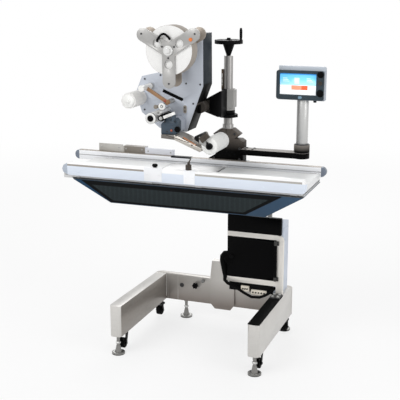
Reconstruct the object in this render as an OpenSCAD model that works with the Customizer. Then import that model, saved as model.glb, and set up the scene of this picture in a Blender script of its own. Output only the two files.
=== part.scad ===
// Top labeling machine: floor frame, column, belt tray, mast with applicator head, operator display.
// X runs along the belts, Y from the front to the back, Z up. The origin is the floor point under the
// middle of the machine.

/* [Floor frame] */
// Depth of the whole floor frame, front to back
frame_d = 625; // [580:1:690]
// Distance between the middles of the two legs
leg_pitch = 695; // [640:1:760]
// Place of the floor frame's middle along the belts
frame_x = 117.5; // [100:0.5:130]
// Place of the floor frame's middle front to back
frame_y = -12.5; // [-30:0.5:0]
// Width of a leg
leg_w = 60; // [54:1:66]
// Height of the leg section
leg_h = 157; // [140:1:170]
// Clear height under the legs
leg_lift = 98; // [90:1:110]
// Fall of the legs' tops towards the rear beam
leg_fall = 16; // [8:1:20]
// Depth of the rear beam
beam_d = 40; // [36:1:50]
// Distance of the cable post from the frame's middle, to the left
post_off = 5; // [0:1:20]
// Width of the cable post's saddle
saddle_w = 135; // [120:1:145]
// Width of the pad on the right leg
pad_w = 56; // [50:1:58]
// Distance of that pad from the leg's front end
pad_inset = 4; // [2:0.5:20]
// Thickness of that pad
pad_t = 4; // [3:0.5:6]

/* [Feet and casters] */
// Radius of a levelling foot
foot_r = 32; // [26:1:36]
// Radius of a foot's spindle
spindle_r = 8; // [6:0.5:10]
// Distance of a foot from the end of the frame
foot_inset = 34; // [30:1:40]
// Distance of a rear foot from the back of the rear beam
foot_back = 16; // [14:1:24]
// Distance of the rear left foot from the left leg's middle
foot_shift = 136; // [110:1:140]
// Distance of the rear right foot from the right leg's middle
foot_tuck = 13; // [8:1:20]
// Radius of a caster wheel
wheel_r = 25; // [20:1:28]
// Width of a caster wheel
wheel_w = 28; // [22:1:32]
// Height of the raised caster wheels over the floor
wheel_gap = 10; // [10:1:20]
// Distance of a caster from the front or back end of the frame
caster_inset = 100; // [96:1:110]
// Trail of a caster wheel behind its swivel
trail = 12; // [8:1:14]

/* [Column and cabinet] */
// Left side of the column
col_x0 = 204; // [190:1:210]
// Width of the column
col_w = 274; // [260:1:280]
// Place of the cabinet's front
cab_y = 96; // [90:1:100]
// Depth of the cabinet's front parts
cab_d = 22; // [18:1:24]
// Depth of the column
col_d = 108; // [90:1:120]
// Top of the column
col_top = 652; // [640:1:660]
// Fall of the column's top towards its back
col_fall = 27; // [20:1:32]
// Thickness of the column's base flange
flange_t = 8; // [6:1:10]
// Width of the neck that carries the mast
neck_w = 170; // [150:1:180]
// Width of the trim bars
trim_w = 34; // [30:1:40]
// Height of the bar over the door
bar_h = 25; // [20:1:30]
// Height of the trim frame's lower bar over the legs
sill_gap = 44; // [38:1:50]
// Height of the door
door_h = 212; // [200:1:220]
// Radius of the door's hinge pin
pin_r = 4; // [3:0.5:5]

/* [Tray] */
// Height of the tray's top
tray_top = 845; // [840:1:846]
// Depth of the tray's hull
tray_h = 103; // [95:1:110]
// Front of the tray
tray_y0 = -230; // [-236:1:-225]
// Back of the tray
tray_y1 = 110; // [100:1:116]
// Right end of the tray's top
tray_x1 = 659; // [650:1:664]
// Width of the tray's top
tray_w = 1142; // [1120:1:1150]
// Left slope of the hull
slope_l = 200; // [180:1:220]
// Right slope of the hull
slope_r = 175; // [160:1:190]
// Thickness of the hull's walls
hull_t = 4; // [3:0.5:6]
// Thickness of the front panel
panel_t = 3; // [2:0.5:4]
// Width left bare at the hull's right end
bare_w = 98; // [80:1:110]

/* [Belts] */
// Height of the belts' top
belt_z = 880; // [878:1:884]
// Radius of a belt roller
roller_r = 12; // [10:0.5:13]
// Thickness of a belt
belt_t = 2.4; // [2:0.1:3]
// Width of a belt
belt_w = 330; // [320:1:336]
// Back edge of the belts
belt_y1 = 120; // [116:1:124]
// Left end of the infeed belt
in_x0 = -540; // [-550:1:-530]
// Right end of the infeed belt
in_x1 = -100; // [-110:1:-90]
// Left end of the outfeed belt
out_x0 = 175; // [165:1:185]
// Thickness of the belt frame's side plates
side_t = 5; // [4:0.5:6]

/* [Rails] */
// Length of the rear rail
rear_l = 1344; // [1300:1:1360]
// Length of the front rail
front_l = 1200; // [1150:1:1220]
// Height of the front rail
front_h = 64; // [58:1:68]
// Top of the front rail
front_top = 930; // [926:1:936]
// Thickness of the front rail
front_t = 28; // [22:1:28]
// Height of the rear rail
rear_h = 48; // [40:1:50]
// Top of the rear rail
rear_top = 905; // [900:1:910]
// Thickness of the rear rail
rear_t = 28; // [22:1:32]
// Front of the rear rail
rear_y = 160; // [150:1:164]

/* [Mast] */
// Place of the mast along the belts
mast_x = 157; // [150:1:165]
// Place of the mast front to back
mast_y = 220; // [215:1:224]
// Outer radius of the mast tube
mast_r = 22; // [20:0.5:24]
// Top of the mast tube
mast_top = 1416; // [1400:1:1420]
// Radius of the handwheel's rim
rim_r = 69; // [60:1:70]
// Height of the wheel's grip
grip_h = 58; // [52:1:70]
// Radius of the wheel's grip
grip_r = 7; // [6:0.5:9]
// Radius of the lead screw
screw_r = 9; // [7:0.5:10]
// Height of the slide's block
slide_h = 126; // [110:1:130]
// Bottom of the slide's block
slide_z = 1129; // [1128:1:1134]
// Radius of the lock ring
ring_r = 50; // [44:1:54]
// Thickness of the lock ring
ring_t = 14; // [12:1:16]
// Radius of the head's pivot shaft
pivot_r = 14; // [12:0.5:16]

/* [Applicator head] */
// Pivot of the head along the belts
pivot_x = 72; // [66:1:76]
// Pivot of the head over the floor
pivot_z = 1180; // [1176:1:1184]
// Front of the head's plate
plate_y = -30; // [-34:1:-26]
// Thickness of the head's plate
plate_t = 6; // [5:0.5:8]
// Depth of the head's case
case_d = 124; // [110:1:126]
// Radius of the guide roller
guide_r = 26; // [22:1:28]
// Radius of the nip roller
nip_r = 13; // [11:0.5:14]
// Radius of the drive roller
drive_r = 15; // [12:0.5:16]
// Length of the web rollers
web_w = 120; // [100:1:124]
// Radius of the roller shafts
shaft_r = 5; // [4:0.5:6]
// Radius of the foam press roller
foam_r = 40; // [34:1:42]
// Length of the foam press roller
foam_l = 165; // [150:1:170]
// Radius of the rewind spool
spool_r = 30; // [26:1:32]
// Length of the rewind spool
spool_l = 140; // [120:1:146]

/* [Label reel] */
// Reel axis along the belts
reel_x = 3; // [0:1:6]
// Reel axis over the floor
reel_z = 1467; // [1464:1:1472]
// Length of a reel arm from the axis to its tip
arm_l = 172; // [160:1:176]
// Width of a reel arm
arm_w = 62; // [54:1:66]
// Thickness of a reel arm
arm_t = 7; // [5:0.5:8]
// Lean of the star of arms
arm_lean = 31; // [25:1:36]
// Radius of the label roll
roll_r = 113; // [100:1:118]
// Width of the label roll
roll_w = 70; // [60:1:80]
// Radius of the reel's hub
hub_r = 27; // [24:1:28]

/* [Display] */
// Place of the display post along the belts
disp_x = 543; // [530:1:550]
// Place of the display post front to back
disp_y = 190; // [186:1:196]
// Radius of the display post
disp_post_r = 28; // [24:1:30]
// Bottom of the display's case
disp_z = 1222; // [1210:1:1230]
// Width of the display
disp_w = 230; // [220:1:244]
// Height of the display's bezel
disp_h = 138; // [130:1:144]
// Depth of the display's case
disp_d = 42; // [36:1:48]
// Thickness of the bezel
bezel_t = 14; // [12:1:16]
// Depth of the display arm
disp_arm_d = 62; // [56:1:66]
// Height of the display arm
disp_arm_h = 28; // [24:1:32]

/* [Hidden] */

// Shared fits and finish values
run = 0.05;
gap = 0.3;
over = 2;
wall = 3;
edge_r = 4;
$fn = 48;
fine = 64;

// Places worked out from the sizes above
leg_top = leg_lift + leg_h;
left_x = frame_x - leg_pitch / 2;
right_x = frame_x + leg_pitch / 2;
floor_y0 = frame_y - frame_d / 2;
floor_y1 = frame_y + frame_d / 2;
beam_y0 = floor_y1 - beam_d;
beam_top = leg_top - leg_fall;
foot_y0 = floor_y0 + foot_inset;
foot_y1 = floor_y1 - foot_back;
caster_y0 = floor_y0 + caster_inset;
caster_y1 = beam_y0 - caster_inset / 3;
foot_travel = 30;
foot_disc_t = 9;
foot_cone_h = 34;
foot_seat = 60;
nut_h = 9;
nut_r = 14;
leg_round = 20;
leg_wall = 5;
beam_round = 34;
bore_deep = foot_seat + foot_travel + over;
stem_r = 6;
stem_h = 26;
fork_t = 4;
plate_h = 5;
fork_gap = 1;
axle_r = 4;
axle_z = wheel_gap + wheel_r;
saddle_x0 = left_x + leg_pitch / 2 - saddle_w / 2 + post_off;
saddle_drop = 17;
saddle_out = 16;
post_h = 87;
saddle_share = [[0, 0.12], [0.02, 0.69], [0.08, 1], [0.36, 1], [0.55, 0.77], [0.77, 0.61], [0.98, 0.46],
    [1, 0.12], [0.84, 0], [0.2, 0]];

col_y0 = cab_y + cab_d;
col_y1 = col_y0 + col_d;
col_x1 = col_x0 + col_w;
col_z0 = leg_top + flange_t;
col_back = col_top - 3 * edge_r - col_fall;
sill_h = 27;
sill_z = leg_top + sill_gap;
door_z0 = sill_z + sill_h;
door_z1 = door_z0 + door_h;
trim_z1 = door_z1 + bar_h;
trim_x1 = col_x1 + 3 * wall;
door_x1 = trim_x1 - trim_w - gap;
door_t = cab_d - edge_r;
knuckle_r = 8;
knuckle_h = 20;
hinge_x = door_x1 - over;
hinge_y = cab_y - knuckle_r - gap;
tray_z0 = tray_top - tray_h;
tray_x0 = tray_x1 - tray_w;
frame_plate_t = 4;
loop_r = roller_r + gap + belt_t;
loop_z = belt_z - loop_r;
belt_y0 = belt_y1 - belt_w;
out_x1 = tray_x1 - edge_r;
neck_rise = 50;
mast_foot_z = tray_top + neck_rise;

// A box between two corners
module span(a, b) {
    translate(a) cube(b - a);
}

// A round bar along X, Y or Z between two places
module bar_x(x0, x1, y, z, r) {
    translate([x0, y, z]) rotate([0, 90, 0]) cylinder(h = x1 - x0, r = r);
}
module bar_y(x, z, y0, y1, r) {
    translate([x, y1, z]) rotate([90, 0, 0]) cylinder(h = y1 - y0, r = r);
}
module bar_z(x, y, z0, z1, r) {
    translate([x, y, z0]) cylinder(h = z1 - z0, r = r);
}

// A flat shape in X and Z, carried from y0 to y1
module slab_y(y0, y1) {
    translate([0, y1, 0]) rotate([90, 0, 0]) linear_extrude(height = y1 - y0) children();
}

// A rectangle in plan whose front corners are round
module round_front(x0, x1, y0, y1, r) {
    translate([x0, y0 + r]) square([x1 - x0, y1 - y0 - r]);
    translate([x0 + r, y0]) square([x1 - x0 - 2 * r, 2 * r]);
    for (x = [x0 + r, x1 - r]) translate([x, y0 + r]) circle(r = r);
}

// A strip in X and Z with round ends
module strip(a, b, w) {
    d = b - a;
    translate(a) rotate(atan2(d[1], d[0])) translate([0, -w / 2]) square([norm(d), w]);
    translate(a) circle(d = w);
    translate(b) circle(d = w);
}

// Floor frame: each leg is level from its front to y_level, and falls from there to the rear beam
module leg(x, y_level) {
    channel_y0 = caster_y0 + leg_w / 2;
    channel_y1 = caster_y1 - leg_w / 2;
    difference() {
        intersection() {
            translate([0, 0, leg_lift]) linear_extrude(height = leg_h)
                round_front(x - leg_w / 2, x + leg_w / 2, floor_y0, beam_y0, leg_round);
            translate([x - leg_w, 0, 0]) rotate([90, 0, 90]) linear_extrude(height = 2 * leg_w) polygon([
                [floor_y0 - over, leg_lift - over], [floor_y0 - over, leg_top + over], [y_level, leg_top + over],
                [y_level, leg_top], [beam_y0 + over, beam_top], [beam_y0 + over, leg_lift - over]]);
        }
        span([x - leg_w / 2 + leg_wall, channel_y0, leg_lift - over],
            [x + leg_w / 2 - leg_wall, channel_y1, beam_top - leg_wall]);
        bar_z(x, foot_y0, leg_lift - over, leg_lift + bore_deep, spindle_r + run);
        bar_z(x, caster_y0, leg_lift - over, leg_lift + stem_h + over, stem_r + run);
        bar_z(x, caster_y1, leg_lift - over, leg_lift + stem_h + over, stem_r + run);
    }
}
module left_leg() {
    color("#b9b7b2") leg(left_x, floor_y0 + leg_round);
}
module right_leg() {
    color("#b9b7b2") leg(right_x, col_y1);
}

module beam_plan(x0, x1) {
    translate([x0, beam_y0]) square([x1 - x0, beam_d - beam_round]);
    translate([x0 + beam_round, beam_y0]) square([x1 - x0 - 2 * beam_round, beam_d]);
    intersection() {
        translate([x0, beam_y0]) square([x1 - x0, beam_d]);
        for (x = [x0 + beam_round, x1 - beam_round]) translate([x, floor_y1 - beam_round]) circle(r = beam_round);
    }
}
module rear_beam() {
    x0 = left_x - leg_w / 2;
    x1 = right_x + leg_w / 2;
    post_z0 = leg_lift - saddle_drop;
    tall = leg_top + post_h - post_z0;
    feet = [left_x + foot_shift, right_x - foot_tuck];
    color("#b4b2ad") difference() {
        union() {
            translate([0, 0, leg_lift]) linear_extrude(height = beam_top - leg_lift) beam_plan(x0, x1);
            slab_y(beam_y0 - saddle_out, floor_y1 - saddle_out)
                polygon([for (p = saddle_share) [saddle_x0 + saddle_w * p[0], post_z0 + tall * p[1]]]);
        }
        channels = [[feet[0] + leg_w / 2, saddle_x0 + leg_wall],
            [saddle_x0 + saddle_w - leg_wall, feet[1] - leg_w / 2]];
        for (e = channels)
            span([e[0], beam_y0 + leg_wall, leg_lift - over], [e[1], floor_y1 - leg_wall, beam_top - leg_wall]);
        for (x = feet) bar_z(x, foot_y1, leg_lift - over, leg_lift + bore_deep, spindle_r + run);
    }
}
module leg_pad() {
    color("#161616") span([right_x - pad_w / 2, floor_y0 + pad_inset, leg_top],
        [right_x + pad_w / 2, cab_y - over, leg_top + pad_t]);
}

// Levelling feet: disc, cone, spindle and lock nut, screwed up into the frame
module foot(x, y) {
    color("#9a9a98") translate([x, y, 0]) {
        cylinder(h = foot_disc_t, r = foot_r);
        translate([0, 0, foot_disc_t]) cylinder(h = foot_cone_h, r1 = foot_r / 2, r2 = spindle_r + over);
        cylinder(h = leg_lift + foot_seat, r = spindle_r);
        translate([0, 0, leg_lift - gap - nut_h]) cylinder(h = nut_h, r = nut_r, $fn = 6);
    }
}
module foot_front_left() { foot(left_x, foot_y0); }
module foot_front_right() { foot(right_x, foot_y0); }
module foot_rear_left() { foot(left_x + foot_shift, foot_y1); }
module foot_rear_right() { foot(right_x - foot_tuck, foot_y1); }

// Casters: the fork turns on its stem, the wheel on the fork's axle; way is the side the wheel trails to
module fork(x, y, way) {
    cheek = wheel_w / 2 + fork_gap;
    color("#2a2a2c") translate([x, y, 0]) mirror([0, 1 - way, 0]) {
        bar_z(0, 0, leg_lift - gap - plate_h, leg_lift + stem_h, stem_r);
        translate([0, 0, leg_lift - gap - plate_h]) cylinder(h = plate_h, r = wheel_r - over);
        for (s = [-1, 1]) translate([s * (cheek + fork_t / 2), 0, 0]) rotate([90, 0, 90])
            translate([0, 0, -fork_t / 2]) linear_extrude(height = fork_t) polygon([
                [-cheek, leg_lift - gap - plate_h / 2], [cheek, leg_lift - gap - plate_h / 2],
                [trail + axle_r * 2, axle_z], [trail + axle_r, axle_z - axle_r * 2],
                [trail - axle_r, axle_z - axle_r * 2], [trail - axle_r * 2, axle_z]]);
        bar_x(-cheek - fork_t, cheek + fork_t, trail, axle_z, axle_r);
    }
}
module caster_wheel(x, y, way) {
    color("#1b1b1d") difference() {
        translate([x - wheel_w / 2, y + way * trail, axle_z]) rotate([0, 90, 0]) rotate_extrude($fn = fine)
            polygon([[0, 0], [wheel_r - over, 0], [wheel_r, over], [wheel_r, wheel_w - over],
                [wheel_r - over, wheel_w], [0, wheel_w]]);
        bar_x(x - wheel_w, x + wheel_w, y + way * trail, axle_z, axle_r + run);
    }
}
module fork_front_left() { fork(left_x, caster_y0, -1); }
module fork_front_right() { fork(right_x, caster_y0, -1); }
module fork_rear_left() { fork(left_x, caster_y1, 1); }
module fork_rear_right() { fork(right_x, caster_y1, 1); }
module wheel_front_left() { caster_wheel(left_x, caster_y0, -1); }
module wheel_front_right() { caster_wheel(right_x, caster_y0, -1); }
module wheel_rear_left() { caster_wheel(left_x, caster_y1, 1); }
module wheel_rear_right() { caster_wheel(right_x, caster_y1, 1); }

// Column with the neck that carries the tray and the mast
module column_side(inset) {
    polygon([[col_y0 + inset, col_z0 + inset], [col_y1 - inset, col_z0 + inset],
        [col_y1 - inset, col_back - inset], [col_y0 + inset, col_back + col_fall - inset]]);
}
module column() {
    neck_x1 = col_x0 + leg_w;
    neck_x0 = neck_x1 - neck_w;
    neck_y0 = rear_y + rear_t + edge_r;
    neck_y1 = mast_y + disp_post_r;
    neck_z0 = col_back - edge_r;
    seat_x1 = col_x1 - leg_w / 2;
    seat_y1 = floor_y1 - 2 * edge_r;
    color("#c3cad3") {
        difference() {
            translate([col_x0, 0, 0]) rotate([90, 0, 90]) linear_extrude(height = col_w) column_side(0);
            translate([col_x0 + wall, 0, 0]) rotate([90, 0, 90])
                linear_extrude(height = col_w - 2 * wall) column_side(wall);
            span([col_x0 + trim_w / 2, col_y0 - over, door_z0 + edge_r],
                [door_x1 - trim_w / 2, col_y0 + wall + over, door_z1 - edge_r]);
        }
        span([col_x0, col_y0, leg_top], [col_x1, col_y1, col_z0 + gap]);
        span([col_x0, col_y0, leg_top], [seat_x1, seat_y1, col_z0 + gap]);
        span([col_x0, beam_y0 + wall, beam_top], [seat_x1, seat_y1, leg_top + over]);
        slab_y(neck_y0, neck_y1) polygon([[col_x0 + wall, neck_z0], [neck_x1, neck_z0], [neck_x1, mast_foot_z],
            [neck_x0, mast_foot_z], [neck_x0, tray_z0], [col_x0 + wall, col_top + edge_r]]);
        span([neck_x0, tray_y1, tray_z0 + edge_r], [neck_x1 + leg_w / 2, neck_y0 + over, tray_top - edge_r]);
    }
}
module cabinet_box() {
    color("#17181a") difference() {
        span([col_x0 - edge_r, cab_y, trim_z1], [col_x1 - edge_r, col_y0, col_top - edge_r]);
        span([col_x0, cab_y + wall, trim_z1 - over],
            [col_x1 - 2 * edge_r, col_y0 + over, col_top - 4 * edge_r - wall]);
    }
}

// Trim bars round the door: top, right side down to the leg, and sill, with the hinge's knuckles and pin
module trim_frame() {
    bar_x0 = trim_x1 - trim_w;
    left = col_x0 - edge_r;
    color("#c9c6c0") {
        slab_y(cab_y, col_y0) {
            translate([left, door_z1]) square([bar_x0 - left + over, bar_h]);
            translate([bar_x0, door_z1]) intersection() {
                square([trim_w, bar_h]);
                translate([0, bar_h - trim_w]) circle(r = trim_w, $fn = fine);
            }
            translate([bar_x0, leg_top]) square([trim_w, door_z1 - leg_top]);
            translate([left, sill_z]) square([bar_x0 - left, sill_h]);
        }
        for (z = [door_z0 + edge_r, door_z1 - edge_r - knuckle_h]) {
            bar_z(hinge_x, hinge_y, z, z + knuckle_h, knuckle_r);
            span([hinge_x, hinge_y, z], [hinge_x + 2 * knuckle_r, cab_y + over, z + knuckle_h]);
        }
        bar_z(hinge_x, hinge_y, door_z0 + edge_r, door_z1 - edge_r, pin_r);
    }
}

// Door leaf with the hinge barrel that turns on the pin
module cabinet_door() {
    z0 = door_z0 + edge_r + knuckle_h + gap;
    z1 = door_z1 - edge_r - knuckle_h - gap;
    color("#0b0b0c") difference() {
        union() {
            difference() {
                span([col_x0 - edge_r, cab_y, door_z0 + gap], [door_x1, cab_y + door_t, door_z1 - gap]);
                for (z = [door_z0, z1])
                    span([hinge_x - gap, cab_y - over, z], [door_x1 + over, cab_y + over + gap, z + z0 - door_z0]);
            }
            bar_z(hinge_x, hinge_y, z0, z1, knuckle_r);
            span([hinge_x - 2 * knuckle_r, hinge_y, z0], [hinge_x, cab_y + over, z1]);
        }
        bar_z(hinge_x, hinge_y, z0 - over, z1 + over, pin_r + run);
    }
}

// Hose: one loop from the cabinet's left side, under the sill, up to the right leg
hose_sides = 10;
hose_left = [[0, 32, 170], [-16, 32, 170], [-33, 32, 167], [-43, 31, 153], [-43, 30, 136], [-37, 23, 115],
    [-27, 6, 90], [-18, -12, 67], [-14, -30, 50], [2, -36, 38]];
hose_right = [[-193, -24, 18], [-149, -23, -7], [-106, -23, -26], [-63, -23, -23], [-33, -25, -8], [-15, -26, 5],
    [-2, -26, 18], [4, -20, 25], [5, -10, 26], [5, 0, 26]];
hose_radii = [16, 17, 18, 18, 18, 17, 15, 11, 9, 8, 7, 7, 7, 7, 7, 7, 7, 7, 7, 7];
hose_route = concat([for (p = hose_left) [col_x0, col_y0, leg_top] + p],
    [for (p = hose_right) [right_x - leg_w / 2, col_y0, leg_top] + p]);
function hose_dir(i) = let (a = hose_route[max(i - 1, 0)], b = hose_route[min(i + 1, len(hose_route) - 1)])
    (b - a) / norm(b - a);
function hose_ring(i) = let (t = hose_dir(i), s = cross(t, [0, -1, 2]), u = s / norm(s), v = cross(t, u))
    [for (k = [0 : hose_sides - 1]) let (q = 360 * k / hose_sides)
        hose_route[i] + hose_radii[i] * (cos(q) * u + sin(q) * v)];
module hose() {
    n = len(hose_route);
    m = hose_sides;
    points = [for (i = [0 : n - 1]) each hose_ring(i)];
    walls = [for (i = [0 : n - 2], k = [0 : m - 1]) let (a = i * m + k, b = i * m + (k + 1) % m)
        [a, b, b + m, a + m]];
    color("#141414") polyhedron(points = points, faces = concat([[for (k = [m - 1 : -1 : 0]) k]], walls,
        [[for (k = [0 : m - 1]) (n - 1) * m + k]]), convexity = 10);
}

// Tray under the belts: a boat-shaped hull with sloped ends
module hull_outline(inset) {
    side_inset = inset * slope_l / tray_h;
    polygon([[tray_x0 + side_inset + inset, tray_top - inset], [tray_x1 - side_inset - inset, tray_top - inset],
        [tray_x1 - slope_r - inset, tray_z0 + inset], [tray_x0 + slope_l + inset, tray_z0 + inset]]);
}
module tray_shell() {
    color("#24405c") difference() {
        slab_y(tray_y0, tray_y1) hull_outline(0);
        slab_y(tray_y0 + hull_t, tray_y1 - hull_t) hull_outline(hull_t);
    }
}
module front_panel() {
    z0 = tray_z0 + edge_r;
    lean = slope_r * (z0 - tray_z0) / tray_h;
    color("#2b3033") slab_y(tray_y0 - panel_t, tray_y0) polygon([
        [tray_x0 + 2 * edge_r, tray_top - edge_r / 2], [tray_x1 - bare_w, tray_top - edge_r / 2],
        [tray_x1 - bare_w - slope_r + lean, z0], [tray_x0 + slope_l + edge_r, z0]]);
}

// Belt frame: cover plate over the tray, side plates, slider beds inside the belts, bridge deck between them
deck_t = 3;
tie_w = 30;
frame_y0 = belt_y0 - side_t - gap;
frame_y2 = belt_y1 + side_t + gap;
front_y1 = frame_y0 - edge_r;
front_y0 = front_y1 - front_t;
module belt_frame() {
    x0 = in_x0 + edge_r;
    x1 = out_x1 - edge_r;
    ends = [[in_x0, in_x1], [out_x0, out_x1]];
    color("#b5bac0") {
        span([tray_x0 + edge_r, tray_y0, tray_top], [tray_x1 - edge_r, tray_y1, tray_top + frame_plate_t]);
        difference() {
            for (y = [frame_y0, frame_y2 - side_t])
                span([x0, y, tray_top], [x1, y + side_t, belt_z - belt_t]);
            for (e = ends, x = [e[0] + loop_r, e[1] - loop_r])
                bar_y(x, loop_z, frame_y0 - over, frame_y2 + over, shaft_r + run);
        }
        for (e = ends) span([e[0] + 3 * loop_r, frame_y0 + over, loop_z],
            [e[1] - 3 * loop_r, frame_y2 - over, belt_z - belt_t - gap]);
        span([in_x1 + gap, frame_y0 + over, belt_z - deck_t], [out_x0 - gap, frame_y2 - over, belt_z]);
        for (x = [in_x1 + tie_w, out_x0 - tie_w])
            span([x, frame_y0 + over, tray_top], [x + side_t, frame_y2 - over, belt_z - over]);
        for (x = [in_x0 + 2 * tie_w, in_x1, out_x0 - tie_w, out_x1 - 2 * tie_w]) {
            span([x, front_y1, tray_top + edge_r], [x + tie_w, frame_y0 + over, belt_z - edge_r]);
            span([x, frame_y2 - over, tray_top + edge_r], [x + tie_w, rear_y, belt_z - edge_r]);
        }
    }
}
module belt_loop(x0, x1) {
    slab_y(belt_y0, belt_y1) translate([x0 + loop_r, loop_z]) difference() {
        strip([0, 0], [x1 - x0 - 2 * loop_r, 0], 2 * loop_r);
        strip([0, 0], [x1 - x0 - 2 * loop_r, 0], 2 * (loop_r - belt_t));
    }
}
module conveyor_belts() {
    color("#eceeee") {
        belt_loop(in_x0, in_x1);
        belt_loop(out_x0, out_x1);
    }
}
module belt_roller(x) {
    color("#9da1a5") {
        bar_y(x, loop_z, belt_y0 + gap, belt_y1 - gap, roller_r);
        bar_y(x, loop_z, frame_y0, frame_y2, shaft_r);
    }
}
module infeed_nose_roller() { belt_roller(in_x0 + loop_r); }
module infeed_drive_roller() { belt_roller(in_x1 - loop_r); }
module outfeed_drive_roller() { belt_roller(out_x0 + loop_r); }
module outfeed_nose_roller() { belt_roller(out_x1 - loop_r); }

// Rails beside the belts
module front_rail() {
    z0 = front_top - front_h;
    x1 = rear_l / 2;
    x0 = x1 - front_l;
    nose_share = [[0, 0.45], [0.12, 0.74], [0.42, 0.92], [1, 1], [0.72, 0], [0.36, 0.07], [0.1, 0.2]];
    nose = front_h;
    function nose_at(i) = [x0 + nose * nose_share[i][0], z0 + front_h * nose_share[i][1]];
    color("#d9dde6") slab_y(front_y0, front_y1) difference() {
        polygon([nose_at(0), nose_at(1), nose_at(2), nose_at(3), [x1, front_top], [x1, z0],
            nose_at(4), nose_at(5), nose_at(6)]);
        for (e = [[front_top, -1], [z0, 1]]) difference() {
            translate([x1 - leg_round, e[0] - leg_round]) square([leg_round + over, 2 * leg_round]);
            translate([x1 - leg_round - over, e[0] + e[1] * leg_round - leg_round]) square([over, 2 * leg_round]);
            translate([x1 - leg_round, e[0] + e[1] * leg_round]) circle(r = leg_round);
        }
    }
}
module rear_rail() {
    r = rear_h / 2;
    color("#8f9398") slab_y(rear_y, rear_y + rear_t)
        strip([-rear_l / 2 + r, rear_top - r], [rear_l / 2 - r, rear_top - r], rear_h);
}

// Upright guide plate, drive box and cover behind the rear rail
guide_x0 = -545;
guide_w = 138;
guide_top = 943;
box_w = 125;
box_top = 936;
box_d = 40;
cover_w = 157;
cover_top = 932;
module rear_guides() {
    y = rear_y + rear_t;
    z = rear_top - rear_h / 2;
    color("#a9a9a4") {
        span([guide_x0, y, z], [guide_x0 + guide_w, y + edge_r, guide_top]);
        span([guide_x0 + guide_w + gap, y, z], [guide_x0 + guide_w + box_w, y + box_d, box_top]);
        span([guide_x0 + guide_w + box_w + gap, y, z],
            [guide_x0 + guide_w + box_w + cover_w, y + box_d / 2, cover_top]);
    }
}

// Hooks over the front rail, the right one with the label sensor, and the clamp knob on the left one
hook_t = 3;
hook_x = -97;
hook_w = 88;
hook2_x = 100;
hook2_w = 54;
sensor_r = 11;
sensor_h = 20;
knob_r = 13;
knob_h = 16;
knob_stem_r = 4;
knob_share = 0.55;
knob_turned_share = [[0, 0], [0.6, 0], [1, 0.35], [1, 0.8], [0.7, 1], [0, 1]];
knob_x = hook_x + hook_w * knob_share;
rail_mid_y = (front_y0 + front_y1) / 2;
module rail_hook(x, w, drop) {
    span([x, front_y0 - hook_t, front_top - drop], [x + w, front_y0, front_top + hook_t]);
    span([x, front_y0 - hook_t, front_top], [x + w, front_y1, front_top + hook_t]);
}
module sensor_bracket() {
    color("#e6e8ec") {
        rail_hook(hook_x, hook_w, front_h - edge_r);
        rail_hook(hook2_x, hook2_w, front_h - edge_r);
        bar_z(hook2_x + hook2_w / 3, rail_mid_y, front_top + hook_t / 2, front_top + hook_t + sensor_h, sensor_r);
        bar_z(knob_x, rail_mid_y, front_top + hook_t / 2, front_top + hook_t + knob_h / 2, knob_stem_r);
    }
}
module rail_knob() {
    z0 = front_top + hook_t + gap;
    color("#101010") difference() {
        translate([knob_x, rail_mid_y, z0]) rotate_extrude()
            polygon([for (p = knob_turned_share) [knob_r * p[0], knob_h * p[1]]]);
        bar_z(knob_x, rail_mid_y, z0 - over, front_top + hook_t + knob_h / 2 + gap, knob_stem_r + run);
    }
}

// Mast foot: flared base, block for the display arm and winged collar round the mast
sleeve_r = 27;
ring_drop = 35;
sleeve_top = slide_z - ring_t - ring_drop;
foot_left_w = 95;
foot_right_w = 88;
foot_x0 = mast_x - foot_left_w;
foot_x1 = mast_x + foot_right_w;
foot_h = 113;
wing_w = 68;
wing_h = 50;
mast_foot_d = 2 * sleeve_r + 2 * wall;
wing_z = mast_foot_z + foot_h;
module mast_foot() {
    wing_share = [[-0.6, 0], [-1, 0.45], [-0.45, 1], [0.45, 1], [1, 0.45], [0.6, 0]];
    flare_share = [[0, 0], [0, 0.08], [0.2, 0.28], [0.34, 0.55], [0.38, 1], [0.9, 1], [1, 0.9], [1, 0]];
    foot_w = foot_x1 - foot_x0;
    color("#0e0e10") difference() {
        slab_y(mast_y - mast_foot_d / 2, mast_y + mast_foot_d / 2) {
            polygon([for (p = flare_share) [foot_x0 + foot_w * p[0], mast_foot_z + foot_h * p[1]]]);
            polygon([for (p = wing_share) [mast_x + wing_w * p[0], wing_z + wing_h * p[1]]]);
        }
        translate([0, 0, mast_foot_z + edge_r]) bar_z(mast_x, mast_y, 0, foot_h + wing_h, sleeve_r + run);
    }
}
slot_w = 9;
screw_z0 = sleeve_top + over;
module mast_tube() {
    color("#b9bbbd") difference() {
        union() {
            bar_z(mast_x, mast_y, mast_foot_z + edge_r, sleeve_top, sleeve_r);
            bar_z(mast_x, mast_y, sleeve_top - over, mast_top, mast_r);
        }
        bar_z(mast_x, mast_y, mast_foot_z + wing_h, mast_top - 2 * screw_r, mast_r - edge_r);
        bar_z(mast_x, mast_y, mast_top - 3 * screw_r, mast_top + over, screw_r + run);
        span([mast_x - slot_w / 2, mast_y, sleeve_top + edge_r],
            [mast_x + slot_w / 2, mast_y + mast_r + over, mast_top - 3 * screw_r]);
    }
}

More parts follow.
